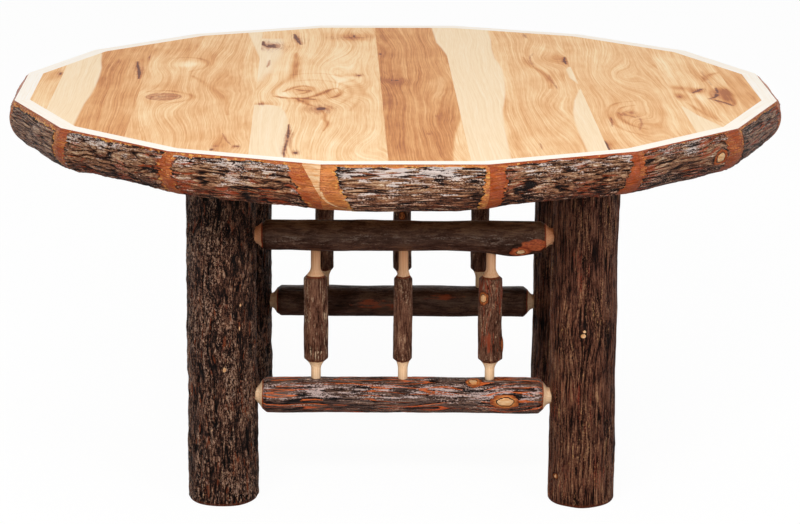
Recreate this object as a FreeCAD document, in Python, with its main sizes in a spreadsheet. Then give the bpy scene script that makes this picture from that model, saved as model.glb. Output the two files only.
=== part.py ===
"""Rustic hickory table: a sixteen-sided plank top with a rim of split poles, on a base of
four barked poles joined by rails and spindles.

Frame: millimetres, +Z up, origin on the floor under the middle of the top.
The planks run along Y. The front of the table looks towards -Y.
"""
import FreeCAD, Part
import math
import os
import Sketcher

Vector = FreeCAD.Vector

# Driving sizes. Lengths are in millimetres, angles in degrees.
SIZES = {
    # whole table
    "table_height": 762,
    "top_across_flats": 1524,
    "top_sides": 16,
    "top_turn": 1.4,
    # planks and the battens under them
    "plank_thickness": 34,
    "batten_thickness": 44,
    "batten_width": 92,
    "batten_end_clearance": 45,
    # rim of split poles
    "rim_pole_radius": 58,
    "rim_reach": 41,
    "band_width": 30,
    # base of poles
    "base_shift": 18,
    "leg_spacing_across": 710,
    "leg_spacing_deep": 732,
    "leg_diameter": 133,
    "foot_rounding": 6,
    "upper_rail_below_leg_top": 148,
    "rail_spacing": 323,
    "lower_rail_diameter": 70,
    "upper_rail_diameter": 60.5,
    "rail_tenon_diameter": 32,
    "rail_tip_from_leg_axis": 24,
    "rail_bark_from_leg": 12,
    "rail_bevel_length": 9,
    "rail_flare_length": 11,
    "spindle_diameter": 44,
    "spindle_pitch": 171,
    "spindle_tenon_diameter": 19,
    "spindle_tip_from_rail_axis": 8,
    "spindle_bark_from_lower_axis": 70,
    "spindle_bark_from_upper_axis": 80,
    "spindle_bevel_length": 6,
    "spindle_flare_length": 16,
    "mortise_clearance": 0.1,
    "mortise_spare_depth": 1,
    # fasteners
    "screw_diameter": 5,
    "screw_head_diameter": 10,
    "screw_head_height": 3,
    "screw_length": 68,
    "screw_end_distance": 30,
    "screw_stagger": 25,
    "lag_diameter": 10,
    "lag_length": 120,
    "lag_head_across_flats": 17,
    "lag_head_height": 7,
    "lag_seat_diameter": 26,
    "lag_seat_depth": 9,
    "nail_diameter": 3,
    "nail_length": 54,
    "nail_set_depth": 2,
    # how far a cutting tool runs past what it cuts
    "overrun": 20,
}

# Seams between planks, from left to right, as shares of the planks' half width.
SEAM_SHARES = (-0.943, -0.71, -0.388, -0.04, 0.165, 0.517, 0.768, 0.937)

# The base's sides and corners, and the three spindles of each side, follow quarter turns.
SIDES = ("front", "right", "back", "left")
CORNERS = ("front_left", "front_right", "back_right", "back_left")
RAILS = tuple(f"{side}_{level}_rail" for side in SIDES for level in ("lower", "upper"))
SPINDLE_ORDER = {
    "front": ("left", "middle", "right"),
    "right": ("front", "middle", "back"),
    "back": ("right", "middle", "left"),
    "left": ("back", "middle", "front"),
}
SPINDLES = tuple(f"{side}_spindle_{place}" for side in SIDES for place in SPINDLE_ORDER[side])

# Natural poles differ in girth. Each share multiplies the size of its kind, in those orders.
LEG_GIRTH_SHARES = (1.03, 0.98, 1.0, 0.99)
RAIL_GIRTH_SHARES = (1.01, 1.0, 0.97, 1.03, 0.98, 1.02, 1.0, 0.97)
SPINDLE_GIRTH_SHARES = (1.09, 0.84, 1.07, 0.95, 1.04, 0.9, 0.92, 0.9, 0.93, 1.0, 0.88, 1.03)
RIM_GIRTH_SHARES = (
    0.99, 1.02, 0.97, 1.0, 1.03, 0.98, 1.01, 0.98, 1.02, 1.02, 0.96, 0.99, 1.03, 0.97, 0.98, 0.99,
)
# The thinner end of a pole against its thicker end, and the bark's last edge against its girth.
LEG_TAPER_SHARE = 0.97
POLE_TAPER_SHARE = 0.98
RAIL_SHOULDER_SHARE = 0.8
SPINDLE_SHOULDER_SHARE = 0.72
# Where each rim pole is nailed, as shares of half its inner length, and how high in the planks.
NAIL_PLACE_SHARES = (-0.5, 0.5)
NAIL_HEIGHT_SHARE = 0.5

# Where legs and battens stand, as shares of half the legs' spacing, in the corners' order.
LEG_ACROSS_SHARES = (-1, 1, 1, -1)
LEG_DEEP_SHARES = (-1, -1, 1, 1)
BATTENS = ("front_batten", "middle_batten", "back_batten")
BATTEN_DEEP_SHARES = (-1, 0, 1)
BATTEN_LEGS = (("front_left", "front_right"), (), ("back_left", "back_right"))

doc = FreeCAD.newDocument("rustic_table")
sheet = doc.addObject("Spreadsheet::Sheet", "sizes")
for row, (alias, number) in enumerate(SIZES.items(), start=1):
    sheet.set(f"A{row}", alias)
    sheet.set(f"B{row}", str(number))
    sheet.setAlias(f"B{row}", alias)

derived = doc.addObject("App::VarSet", "derived")
sub_parts = []


def derive(name, formula):
    """Keep a size that follows from the driving ones, so that it is worked out once."""
    derived.addProperty("App::PropertyFloat", name, "derived")
    derived.setExpression(name, formula)


def value(name):
    return getattr(derived, name)


def bind(thing, **formulas):
    """Bind properties to sizes. A double underscore stands for a dot in a property's path."""
    for name, formula in formulas.items():
        thing.setExpression(name.replace("__", "."), formula)


def keep(thing, label):
    """Make a finished object one of the table's named pieces."""
    thing.Label = label
    sub_parts.append(thing)
    return thing


def add(kind, name):
    return doc.addObject(kind, name)


def cut(name, base, tools):
    """The base with each of the tools taken out of it."""
    tool = tools[0]
    if len(tools) > 1:
        tool = add("Part::Compound", name + "_tools")
        tool.Links = tools
    result = add("Part::Cut", name)
    result.Base = base
    result.Tool = tool
    return result


def turned_outline(body, points, hollow_arcs):
    """Draw a half outline on the body's XZ plane: radius across, length upwards.

    points holds the names of derived radii and lengths, "" for the axis or the start. It
    runs up the axis and down the outside, so that hollow arcs turn anticlockwise.
    hollow_arcs maps a segment's number to its end, 1 or 2, where it runs straight on.
    """
    plane = next(item for item in body.Origin.OriginFeatures if item.Role == "XZ_Plane")
    sketch = body.newObject("Sketcher::SketchObject", body.Name + "_outline")
    sketch.AttachmentSupport = [(plane, "")]
    sketch.MapMode = "FlatFace"
    places = []
    for radius, length in points:
        x = value(radius) if radius else 0
        y = value(length) if length else 0
        places.append(Vector(x, y, 0))
    count = len(places)
    for number in range(count):
        start, end = places[number], places[(number + 1) % count]
        if number in hollow_arcs:
            sketch.addGeometry(arc_leaving_straight(start, end, hollow_arcs[number]), False)
        else:
            sketch.addGeometry(Part.LineSegment(start, end), False)
    for number, (radius, length) in enumerate(points):
        before = (number - 1) % count
        straight_on = hollow_arcs.get(number) == 1 or hollow_arcs.get(before) == 2
        joint = "Tangent" if straight_on else "Coincident"
        sketch.addConstraint(Sketcher.Constraint(joint, before, 2, number, 1))
        pin_point(sketch, number, "DistanceX", radius, places[number].x)
        pin_point(sketch, number, "DistanceY", length, places[number].y)
    return sketch


def arc_leaving_straight(start, end, straight_end):
    """The arc between two points that leaves one of them along the pole's length."""
    near, far = (start, end) if straight_end == 1 else (end, start)
    rise = far.x - near.x
    run = far.y - near.y
    radius = (rise ** 2 + run ** 2) / (2 * rise)
    angle = math.atan2(abs(run), radius - rise) / 2
    middle = Vector(
        near.x + radius * (1 - math.cos(angle)),
        near.y + math.copysign(radius * math.sin(angle), run), 0)
    return Part.Arc(start, middle, end)


def pin_point(sketch, segment, direction, name, place):
    """Fix the start of a segment at a distance from the sketch's own origin."""
    origin_line, origin_end = -1, 1
    index = sketch.addConstraint(
        Sketcher.Constraint(direction, origin_line, origin_end, segment, 1, place))
    if name:
        sketch.setExpression(f"Constraints[{index}]", "derived." + name)


def turned_body(name, points, hollow_arcs):
    """A round piece, turned about its own Z axis."""
    body = add("PartDesign::Body", name)
    sketch = turned_outline(body, points, hollow_arcs)
    turning = body.newObject("PartDesign::Revolution", name + "_turning")
    turning.Profile = sketch
    turning.ReferenceAxis = (sketch, ["V_Axis"])
    turning.Angle = 360
    body.Tip = turning
    return body


def drill(body, name, radius, reach, turn, **place):
    """A round hole into a body, which starts inside it and runs outwards."""
    hole = body.newObject("PartDesign::SubtractiveCylinder", name)
    hole.Placement = FreeCAD.Placement(Vector(), turn)
    bind(hole, Radius=radius, Height=reach, **place)
    body.Tip = hole
    return hole


ALONG_X = FreeCAD.Rotation(Vector(0, 1, 0), 90)
ALONG_Y = FreeCAD.Rotation(Vector(1, 0, 0), -90)


def quarter_turns(count):
    return FreeCAD.Rotation(Vector(0, 0, 1), 90 * count)


# Sizes that follow from the driving ones.
derive("half_side_angle", "180 / sizes.top_sides")
derive("planks_half_width", "sizes.top_across_flats / 2 - sizes.band_width")
derive("planks_corner_radius", "planks_half_width / cos(half_side_angle * 1deg)")
derive("planks_underside", "sizes.table_height - sizes.plank_thickness")
derive("leg_height", "planks_underside - sizes.batten_thickness")
derive("rim_outermost", "planks_half_width + sizes.rim_reach + sizes.overrun")
derive("rim_half_length", "rim_outermost * tan(half_side_angle * 1deg)")
derive("rim_sector_radius", "rim_outermost / cos(half_side_angle * 1deg)")
derive("rim_depth", "2 * sizes.rim_pole_radius")
derive("upper_rail_height", "leg_height - sizes.upper_rail_below_leg_top")
derive("lower_rail_height", "upper_rail_height - sizes.rail_spacing")
derive("leg_across", "sizes.leg_spacing_across / 2")
derive("leg_deep", "sizes.leg_spacing_deep / 2")

# A batten ends short of the circle that touches the planks' outline from inside.
derive("middle_batten_far_edge", "sizes.batten_width / 2")
for batten in ("front_batten", "back_batten"):
    derive(batten + "_far_edge", "leg_deep + sizes.batten_width / 2")
for batten in BATTENS:
    derive(batten + "_half_length",
           f"sqrt(planks_half_width ^ 2 - {batten}_far_edge ^ 2) - sizes.batten_end_clearance")

# Rails and spindles share their lengths, and differ in girth.
derive("rail_length_across", "sizes.leg_spacing_across - 2 * sizes.rail_tip_from_leg_axis")
derive("rail_length_deep", "sizes.leg_spacing_deep - 2 * sizes.rail_tip_from_leg_axis")
derive("rail_tenon_radius", "sizes.rail_tenon_diameter / 2")
derive("rail_bark_start",
       "sizes.leg_diameter / 2 + sizes.rail_bark_from_leg - sizes.rail_tip_from_leg_axis")
derive("rail_flare_start", "rail_bark_start - sizes.rail_flare_length")
derive("rail_full_start", "rail_bark_start + sizes.rail_bevel_length")
for run in ("across", "deep"):
    derive("rail_full_end_" + run, f"rail_length_{run} - rail_full_start")
    derive("rail_bark_end_" + run, f"rail_length_{run} - rail_bark_start")
    derive("rail_flare_end_" + run, f"rail_length_{run} - rail_flare_start")
derive("spindle_length", "sizes.rail_spacing - 2 * sizes.spindle_tip_from_rail_axis")
derive("spindle_tenon_radius", "sizes.spindle_tenon_diameter / 2")
derive("spindle_bark_start", "sizes.spindle_bark_from_lower_axis - sizes.spindle_tip_from_rail_axis")
derive("spindle_flare_start", "spindle_bark_start - sizes.spindle_flare_length")
derive("spindle_full_start", "spindle_bark_start + sizes.spindle_bevel_length")
derive("spindle_bark_end",
       "spindle_length + sizes.spindle_tip_from_rail_axis - sizes.spindle_bark_from_upper_axis")
derive("spindle_full_end", "spindle_bark_end - sizes.spindle_bevel_length")
derive("spindle_flare_end", "spindle_bark_end + sizes.spindle_flare_length")


def derive_pole_girths(name, diameter, girth_share, taper_share, shoulder_share):
    """The radii of one natural pole: thick end, thin end and the bark's last edges."""
    derive(name + "_thick", f"{diameter} / 2 * {girth_share}")
    derive(name + "_thin", f"{name}_thick * {taper_share}")
    derive(name + "_thick_edge", f"{name}_thick * {shoulder_share}")
    derive(name + "_thin_edge", f"{name}_thin * {shoulder_share}")


for side, share in enumerate(RIM_GIRTH_SHARES, start=1):
    name = f"rim_pole_{side:02d}"
    derive(name + "_radius", f"sizes.rim_pole_radius * {share}")
    derive(name + "_inset", f"(sizes.rim_pole_radius - sizes.rim_reach) * {share}")
    derive(name + "_distance", f"planks_half_width - {name}_inset")
    derive(name + "_drop", f"sqrt({name}_radius ^ 2 - (sizes.band_width + {name}_inset) ^ 2)")
    derive(name + "_height", f"sizes.table_height - {name}_drop")
for name, share in zip(RAILS, RAIL_GIRTH_SHARES):
    kind = "sizes.lower_rail_diameter" if "lower" in name else "sizes.upper_rail_diameter"
    derive_pole_girths(name, kind, share, POLE_TAPER_SHARE, RAIL_SHOULDER_SHARE)
for name, share in zip(SPINDLES, SPINDLE_GIRTH_SHARES):
    derive_pole_girths(name, "sizes.spindle_diameter", share,
                       POLE_TAPER_SHARE, SPINDLE_SHOULDER_SHARE)
for corner, share in zip(CORNERS, LEG_GIRTH_SHARES):
    name = "leg_" + corner
    derive(name + "_foot", f"sizes.leg_diameter / 2 * {share}")
    derive(name + "_top", f"{name}_foot * {LEG_TAPER_SHARE}")
    derive(name + "_sole", f"{name}_foot - sizes.foot_rounding")
derive("foot_edge", "sizes.foot_rounding")
doc.recompute()


def pole(name, kind, run=""):
    """A barked pole with a round tenon at each end: tenon, flare, bevelled bark, and back."""
    points = [
        ("", ""),
        ("", kind + "_length" + run),
        (kind + "_tenon_radius", kind + "_length" + run),
        (kind + "_tenon_radius", kind + "_flare_end" + run),
        (name + "_thin_edge", kind + "_bark_end" + run),
        (name + "_thin", kind + "_full_end" + run),
        (name + "_thick", kind + "_full_start"),
        (name + "_thick_edge", kind + "_bark_start"),
        (kind + "_tenon_radius", kind + "_flare_start"),
        (kind + "_tenon_radius", ""),
    ]
    upper_flare, lower_flare = 3, 7
    return turned_body(name, points, {upper_flare: 1, lower_flare: 2})


def spindle_places(run):
    """Where the three spindles stand along a rail, from its first tenon's tip."""
    middle = f"derived.rail_length_{run} / 2"
    return (f"{middle} - sizes.spindle_pitch", middle, f"{middle} + sizes.spindle_pitch")


def make_rail(side, level):
    """A rail along one side of the base, with three mortises for its spindles."""
    name = f"{side}_{level}_rail"
    run = "across" if side in ("front", "back") else "deep"
    rail = pole(name, "rail", "_" + run)
    bottom = "sizes.spindle_tip_from_rail_axis - sizes.mortise_spare_depth"
    for number, place in enumerate(spindle_places(run), start=1):
        drill(rail, f"{name}_mortise_{number}",
              "derived.spindle_tenon_radius + sizes.mortise_clearance",
              f"derived.{name}_thick + sizes.overrun", ALONG_X,
              Placement__Base__x=bottom, Placement__Base__z=place)
    # The mortises of a lower rail open upwards, those of an upper rail downwards.
    turn = quarter_turns(SIDES.index(side))
    along = turn.multVec(Vector(1, 0, 0))
    opening = Vector(0, 0, 1 if level == "lower" else -1)
    rail.Placement.Rotation = FreeCAD.Rotation(opening, along.cross(opening), along, "ZXY")
    # A rail stands on the base's outline, half way along it.
    outwards = turn.multVec(Vector(0, -1, 0))
    reach = "derived.leg_deep" if run == "across" else "derived.leg_across"
    back = f"derived.rail_length_{run} / 2"
    bind(rail,
         Placement__Base__x=f"sizes.base_shift + {outwards.x:.0f} * {reach} - {along.x:.0f} * {back}",
         Placement__Base__y=f"{outwards.y:.0f} * {reach} - {along.y:.0f} * {back}",
         Placement__Base__z=f"derived.{level}_rail_height")
    return keep(rail, name)


def make_spindles(side):
    """Three spindles between the two rails of one side."""
    turn = quarter_turns(SIDES.index(side))
    along = turn.multVec(Vector(1, 0, 0))
    outwards = turn.multVec(Vector(0, -1, 0))
    reach = "derived.leg_deep" if side in ("front", "back") else "derived.leg_across"
    for step, place in zip((-1, 0, 1), SPINDLE_ORDER[side]):
        name = f"{side}_spindle_{place}"
        spindle = pole(name, "spindle")
        spindle.Placement.Rotation = turn
        bind(spindle,
             Placement__Base__x=(f"sizes.base_shift + {outwards.x:.0f} * {reach}"
                                 f" + {along.x * step:.0f} * sizes.spindle_pitch"),
             Placement__Base__y=(f"{outwards.y:.0f} * {reach}"
                                 f" + {along.y * step:.0f} * sizes.spindle_pitch"),
             Placement__Base__z="derived.lower_rail_height + sizes.spindle_tip_from_rail_axis")
        keep(spindle, name)


def leg_place(corner):
    """Where a leg's axis stands."""
    across_share = LEG_ACROSS_SHARES[CORNERS.index(corner)]
    deep_share = LEG_DEEP_SHARES[CORNERS.index(corner)]
    return {
        "Placement__Base__x": f"sizes.base_shift + {across_share} * derived.leg_across",
        "Placement__Base__y": f"{deep_share} * derived.leg_deep",
    }


def make_leg(corner, lag_screw):
    """A leg pole, with two rail mortises in each of its two inner sides."""
    name = "leg_" + corner
    points = [
        ("", ""),
        ("", "leg_height"),
        (name + "_top", "leg_height"),
        (name + "_foot", "foot_edge"),
        (name + "_sole", ""),
    ]
    leg = turned_body(name + "_pole", points, {})
    radius = "derived.rail_tenon_radius + sizes.mortise_clearance"
    bottom = "sizes.rail_tip_from_leg_axis - sizes.mortise_spare_depth"
    reach = f"derived.{name}_foot + sizes.overrun"
    for level in ("lower", "upper"):
        height = f"derived.{level}_rail_height"
        drill(leg, f"{name}_{level}_mortise_1", radius, reach, ALONG_X,
              Placement__Base__x=bottom, Placement__Base__z=height)
        drill(leg, f"{name}_{level}_mortise_2", radius, reach, ALONG_Y,
              Placement__Base__y=bottom, Placement__Base__z=height)
    leg.Placement.Rotation = quarter_turns(CORNERS.index(corner))
    bind(leg, **leg_place(corner))
    return keep(cut(name, leg, [lag_screw]), name)


def make_lag_screw(corner):
    """A hexagon-headed screw from a batten down into the top of a leg."""
    seat = "derived.planks_underside - sizes.lag_seat_depth"
    shank = add("Part::Cylinder", f"lag_shank_{corner}")
    bind(shank, Radius="sizes.lag_diameter / 2", Height="sizes.lag_length",
         Placement__Base__z=f"{seat} - sizes.lag_length", **leg_place(corner))
    head = add("Part::Prism", f"lag_head_{corner}")
    head.Polygon = 6
    bind(head, Circumradius="sizes.lag_head_across_flats / 2 / cos(30deg)",
         Height="sizes.lag_head_height", Placement__Base__z=seat, **leg_place(corner))
    screw = add("Part::Fuse", f"lag_screw_{corner}")
    screw.Base = shank
    screw.Tool = head
    return screw


def make_lag_seat(corner):
    """The round sinking in a batten's top that takes a lag screw's head."""
    seat = add("Part::Cylinder", f"lag_seat_{corner}")
    bind(seat, Radius="sizes.lag_seat_diameter / 2",
         Height="sizes.lag_seat_depth + sizes.overrun",
         Placement__Base__z="derived.planks_underside - sizes.lag_seat_depth",
         **leg_place(corner))
    return seat


def batten_middle(batten):
    return f"{BATTEN_DEEP_SHARES[BATTENS.index(batten)]} * derived.leg_deep"


def plank_edges(number):
    """The left and right edge of a plank as shares of the planks' half width."""
    edges = (-1,) + SEAM_SHARES + (1,)
    return edges[number], edges[number + 1]


def make_batten_screw(name, place_x, place_y):
    """A countersunk screw, up through a batten into a plank."""
    under = "derived.leg_height"
    shank = add("Part::Cylinder", name + "_shank")
    bind(shank, Radius="sizes.screw_diameter / 2", Height="sizes.screw_length",
         Placement__Base__x=place_x, Placement__Base__y=place_y, Placement__Base__z=under)
    head = add("Part::Cone", name + "_head")
    bind(head, Radius1="sizes.screw_head_diameter / 2", Radius2="sizes.screw_diameter / 2",
         Height="sizes.screw_head_height",
         Placement__Base__x=place_x, Placement__Base__y=place_y, Placement__Base__z=under)
    screw = add("Part::Fuse", name)
    screw.Base = shank
    screw.Tool = head
    return screw


def make_batten_screws(batten):
    """One screw where a batten crosses the middle of each plank that it can hold.

    The screws stand by turns on either side of the batten's middle line, clear of the legs'.
    """
    screws = []
    for number in range(len(SEAM_SHARES) + 1):
        left, right = plank_edges(number)
        middle_share = (left + right) / 2
        middle = value("planks_half_width") * middle_share
        if abs(middle) > value(batten + "_half_length") - SIZES["screw_end_distance"]:
            continue
        place_y = f"({batten_middle(batten)} + {(-1) ** number} * sizes.screw_stagger)"
        # The plank's middle line leans with the turned top, and crosses the batten here.
        centre = f"(derived.planks_half_width * {middle_share})"
        place_x = (f"{centre} / cos(sizes.top_turn * 1deg)"
                   f" - {place_y} * tan(sizes.top_turn * 1deg)")
        screws.append(make_batten_screw(f"{batten}_screw_{number + 1}", place_x, place_y))
    return screws


def make_batten(name, screws, lag_screws, lag_seats):
    """A batten across the planks, screwed to them, and to the legs that it lies on."""
    bar = add("Part::Box", name + "_bar")
    bind(bar, Length=f"2 * derived.{name}_half_length", Width="sizes.batten_width",
         Height="sizes.batten_thickness",
         Placement__Base__x=f"-derived.{name}_half_length",
         Placement__Base__y=f"{batten_middle(name)} - sizes.batten_width / 2",
         Placement__Base__z="derived.leg_height")
    tools = list(screws)
    for corner in BATTEN_LEGS[BATTENS.index(name)]:
        tools += [lag_screws[corner], lag_seats[corner]]
    return keep(cut(name, bar, tools), name)


def make_plank(number, outline, tools):
    """A plank of the top: its strip of the sixteen-sided outline."""
    left, right = plank_edges(number)
    name = f"top_plank_{number + 1}"
    strip = add("Part::Box", name + "_strip")
    bind(strip, Length=f"derived.planks_half_width * {right - left}",
         Width="2 * derived.planks_corner_radius", Height="sizes.plank_thickness",
         Placement__Base__x=f"derived.planks_half_width * {left}",
         Placement__Base__y="-derived.planks_corner_radius",
         Placement__Base__z="derived.planks_underside")
    blank = add("Part::Common", name + "_blank")
    blank.Base = strip
    blank.Tool = outline
    turn_top_piece(blank)
    return keep(cut(name, blank, tools), name)


def make_planks_outline(name, lowest):
    """A prism with the planks' outline, from a given height up to the table's surface."""
    outline = add("Part::Prism", name)
    bind(outline, Polygon="sizes.top_sides", Circumradius="derived.planks_corner_radius",
         Height=f"sizes.table_height - ({lowest})", Placement__Base__z=lowest)
    bind(outline, Placement__Rotation__Angle="derived.half_side_angle")
    outline.Placement.Rotation.Axis = Vector(0, 0, 1)
    return outline


def turn_top_piece(thing, side=0):
    """Turn a piece about the table's middle: with the top, and on to its own side."""
    thing.Placement = FreeCAD.Placement(Vector(), Vector(0, 0, 1), SIZES["top_turn"])
    bind(thing, Placement__Rotation__Angle=f"sizes.top_turn + {side} * 360 / sizes.top_sides")


def make_rim_nails(side):
    """The nails that hold one rim pole, driven inwards and set below its bark."""
    tangent = "(derived.planks_half_width * tan(derived.half_side_angle * 1deg))"
    height = f"(sizes.table_height - sizes.plank_thickness * {NAIL_HEIGHT_SHARE})"
    pole = f"derived.rim_pole_{side + 1:02d}"
    above_axis = f"({height} - {pole}_height)"
    surface = f"({pole}_distance + sqrt({pole}_radius ^ 2 - {above_axis} ^ 2))"
    nails = []
    for number, share in enumerate(NAIL_PLACE_SHARES, start=1):
        nail = add("Part::Cylinder", f"rim_nail_{side + 1}_{number}")
        nail.Placement.Rotation = ALONG_X
        bind(nail, Radius="sizes.nail_diameter / 2", Height="sizes.nail_length",
             Placement__Base__x=f"{surface} - sizes.nail_set_depth - sizes.nail_length",
             Placement__Base__y=f"{share} * {tangent}",
             Placement__Base__z=height)
        nails.append(nail)
    pair = add("Part::Compound", f"rim_nails_{side + 1}")
    pair.Links = nails
    turn_top_piece(pair, side)
    return pair


def make_rim_pole(side, planks_core, nails):
    """One split pole of the rim: flat inside, planed on top and mitred at both ends."""
    name = f"rim_pole_{side + 1:02d}"
    log = add("Part::Cylinder", name + "_log")
    log.Placement.Rotation = ALONG_Y
    bind(log, Radius=f"derived.{name}_radius", Height="2 * derived.rim_half_length",
         Placement__Base__x=f"derived.{name}_distance",
         Placement__Base__y="-derived.rim_half_length",
         Placement__Base__z=f"derived.{name}_height")
    mitres = add("Part::Cylinder", name + "_mitres")
    mitres.Placement.Rotation = FreeCAD.Rotation(Vector(0, 0, 1), -1)
    bind(mitres, Radius="derived.rim_sector_radius", Angle="2 * derived.half_side_angle",
         Height="derived.rim_depth",
         Placement__Base__z="sizes.table_height - derived.rim_depth",
         Placement__Rotation__Angle="-derived.half_side_angle")
    mitred = add("Part::Common", name + "_mitred")
    mitred.Base = log
    mitred.Tool = mitres
    split = cut(name + "_split", mitred, [planks_core])
    turn_top_piece(split, side)
    return keep(cut(name, split, [nails]), name)


def group(label, pieces):
    """Fasteners of one kind, as separate solids in one node."""
    gathered = add("Part::Compound", label)
    gathered.Links = pieces
    return keep(gathered, label)


lag_screws = {corner: make_lag_screw(corner) for corner in CORNERS}
lag_seats = {corner: make_lag_seat(corner) for corner in CORNERS}
batten_screws = {batten: make_batten_screws(batten) for batten in BATTENS}
all_batten_screws = [screw for screws in batten_screws.values() for screw in screws]
rim_nails = [make_rim_nails(side) for side in range(SIZES["top_sides"])]

planks_outline = make_planks_outline("planks_outline", "derived.planks_underside")
planks_core = make_planks_outline("planks_core", "sizes.table_height - derived.rim_depth")
for plank in range(len(SEAM_SHARES) + 1):
    make_plank(plank, planks_outline, all_batten_screws + rim_nails)
for side, nails in enumerate(rim_nails):
    make_rim_pole(side, planks_core, nails)
for batten in BATTENS:
    make_batten(batten, batten_screws[batten], lag_screws, lag_seats)
for corner in CORNERS:
    make_leg(corner, lag_screws[corner])
for side in SIDES:
    for level in ("lower", "upper"):
        make_rail(side, level)
    make_spindles(side)
group("batten_screws", all_batten_screws)
group("leg_lag_screws", list(lag_screws.values()))
group("rim_nails", rim_nails)

doc.recompute()

for thing in doc.Objects:
    if "Invalid" in thing.State or "Error" in thing.State:
        raise RuntimeError(f"{thing.Label} failed: {thing.State}")
for piece in sub_parts:
    if piece.Shape.isNull() or not piece.Shape.isValid():
        raise RuntimeError(f"{piece.Label} has no valid shape")

os.makedirs("parts", exist_ok=True)
for piece in sub_parts:
    piece.Shape.exportStep(f"parts/{piece.Label}.step")
    print(piece.Label, len(piece.Shape.Solids), round(piece.Shape.Volume))
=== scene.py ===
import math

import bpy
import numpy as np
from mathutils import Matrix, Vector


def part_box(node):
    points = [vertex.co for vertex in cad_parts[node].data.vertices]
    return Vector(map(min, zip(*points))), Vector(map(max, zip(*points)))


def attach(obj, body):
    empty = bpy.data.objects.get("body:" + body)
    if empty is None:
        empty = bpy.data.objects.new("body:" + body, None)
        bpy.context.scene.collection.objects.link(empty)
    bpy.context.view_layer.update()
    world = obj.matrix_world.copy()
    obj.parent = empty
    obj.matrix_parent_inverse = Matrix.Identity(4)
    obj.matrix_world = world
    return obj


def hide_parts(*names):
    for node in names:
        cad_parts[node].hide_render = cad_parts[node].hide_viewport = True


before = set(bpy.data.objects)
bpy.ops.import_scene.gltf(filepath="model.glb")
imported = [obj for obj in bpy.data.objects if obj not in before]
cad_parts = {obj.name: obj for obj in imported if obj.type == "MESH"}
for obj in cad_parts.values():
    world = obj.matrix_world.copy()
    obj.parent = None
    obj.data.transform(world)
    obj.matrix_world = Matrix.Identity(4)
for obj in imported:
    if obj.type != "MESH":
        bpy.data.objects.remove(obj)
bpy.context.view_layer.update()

# A rustic table: nine planks in a rim of sixteen split poles, on four barked legs with rails and spindles.
# Lengths are in metres, and those in a table that says so in millimetres. Bark is a fine mesh moved in and
# out by seeded noise, and the same noise colours it through the mesh's attributes.

# sizes repeated from the CAD model
TOP_HEIGHT = 0.762
TOP_SIDES = 16
TOP_TURN = math.radians(1.4)
PLANK_BOTTOM = 0.728
PLANKS_HALF_WIDTH = 0.732
RIM_EDGE = 0.762
RIM_RADIUS = 0.058
RIM_CENTRE_INSET = 0.017
SEAMS = (-0.943, -0.71, -0.388, -0.04, 0.165, 0.517, 0.768, 0.937)
RIM_GIRTHS = (0.99, 1.02, 0.97, 1.0, 1.03, 0.98, 1.01, 0.98, 1.02, 1.02, 0.96, 0.99, 1.03, 0.97, 0.98, 0.99)
LEG_TAPER = 0.97
POLE_TAPER = 0.98
# a foot's rounding, as the height above the floor and how much smaller the radius is there
FOOT_PROFILE = ((0.0, 0.006), (0.0008, 0.0035), (0.0025, 0.0016), (0.006, 0.0))
RAIL_BARK_FROM_TIP = 0.0545
SPINDLE_BARK_LOW = 0.062
SPINDLE_BARK_HIGH = 0.072
# radius of the tenon, lengths of the flare and of the bevel, share of the radius left at the bevel's end,
# and the steps and the power of the flare's hollow curve
RAIL_ENDS = dict(tenon=0.016, flare=0.011, bevel=0.009, shoulder=0.80, steps=(0.0, 0.35, 0.7), power=1.7)
SPINDLE_ENDS = dict(tenon=0.0095, flare=0.016, bevel=0.006, shoulder=0.72,
                    steps=(0.0, 0.25, 0.5, 0.75), power=1.8)

# distance between the points of the meshes
POLE_SPACING = 0.0020
SPINDLE_SPACING = 0.0019
RIM_SPACING_ALONG = 0.0022
RIM_SPACING_DOWN = 0.0021
PLANK_SPACING = 0.0025
PLANK_STATIONS = 360

# rows of points on a rim pole's flat inside and on its planed top
RIM_INNER_ROWS, RIM_BAND_ROWS = 5, 8
# first seeds, to which a piece's number is added
FIRST_SPINDLE_SEED, RIM_SEED, PLANK_SEED = 40, 60, 200
# how far apart two pieces lie in the materials' noise
POLE_SHIFT, RIM_SHIFT, PLANK_SHIFT = 0.37, 0.61, 0.83
# how far a pole bends off its axis
LEG_BOW, RAIL_BOW, SPINDLE_BOW = 0.003, 0.004, 0.002
# how far bark fades in at its edge, how far from a mitre a rim pole takes on its neighbour's girth, and how
# near to it the relief fades
EDGE_FADE, GIRTH_BLEND, MITRE_FADE = 0.006, 0.06, 0.012

# camera and lamps
LENS, SENSOR = 133.45, 36.0
CAMERA_PLACE = (0.0018, -5.9807, 1.8771)
PITCH_DOWN, YAW, ROLL = 0.2434, -0.0017, 0.0059
LAMPS = {
    # place, target, width, height and watts
    "key": ((-0.9, -4.4, 3.2), (0.0, 0.0, 0.5), 3.0, 0.6, 150.0),
    "fill": ((2.6, -4.0, 2.4), (0.0, 0.0, 0.5), 1.6, 1.2, 60.0),
    "overhead": ((0.0, 0.6, 4.2), (0.0, 0.0, 0.7), 3.6, 3.0, 33.0),
}
FLOOR_HALF_SIZE = 14.0
FLOOR_GLOW, FLOOR_GLOW_SHARE = 1.06, 0.90
WORLD_LIGHT = 0.42
WHITE = (255, 255, 255)


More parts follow.
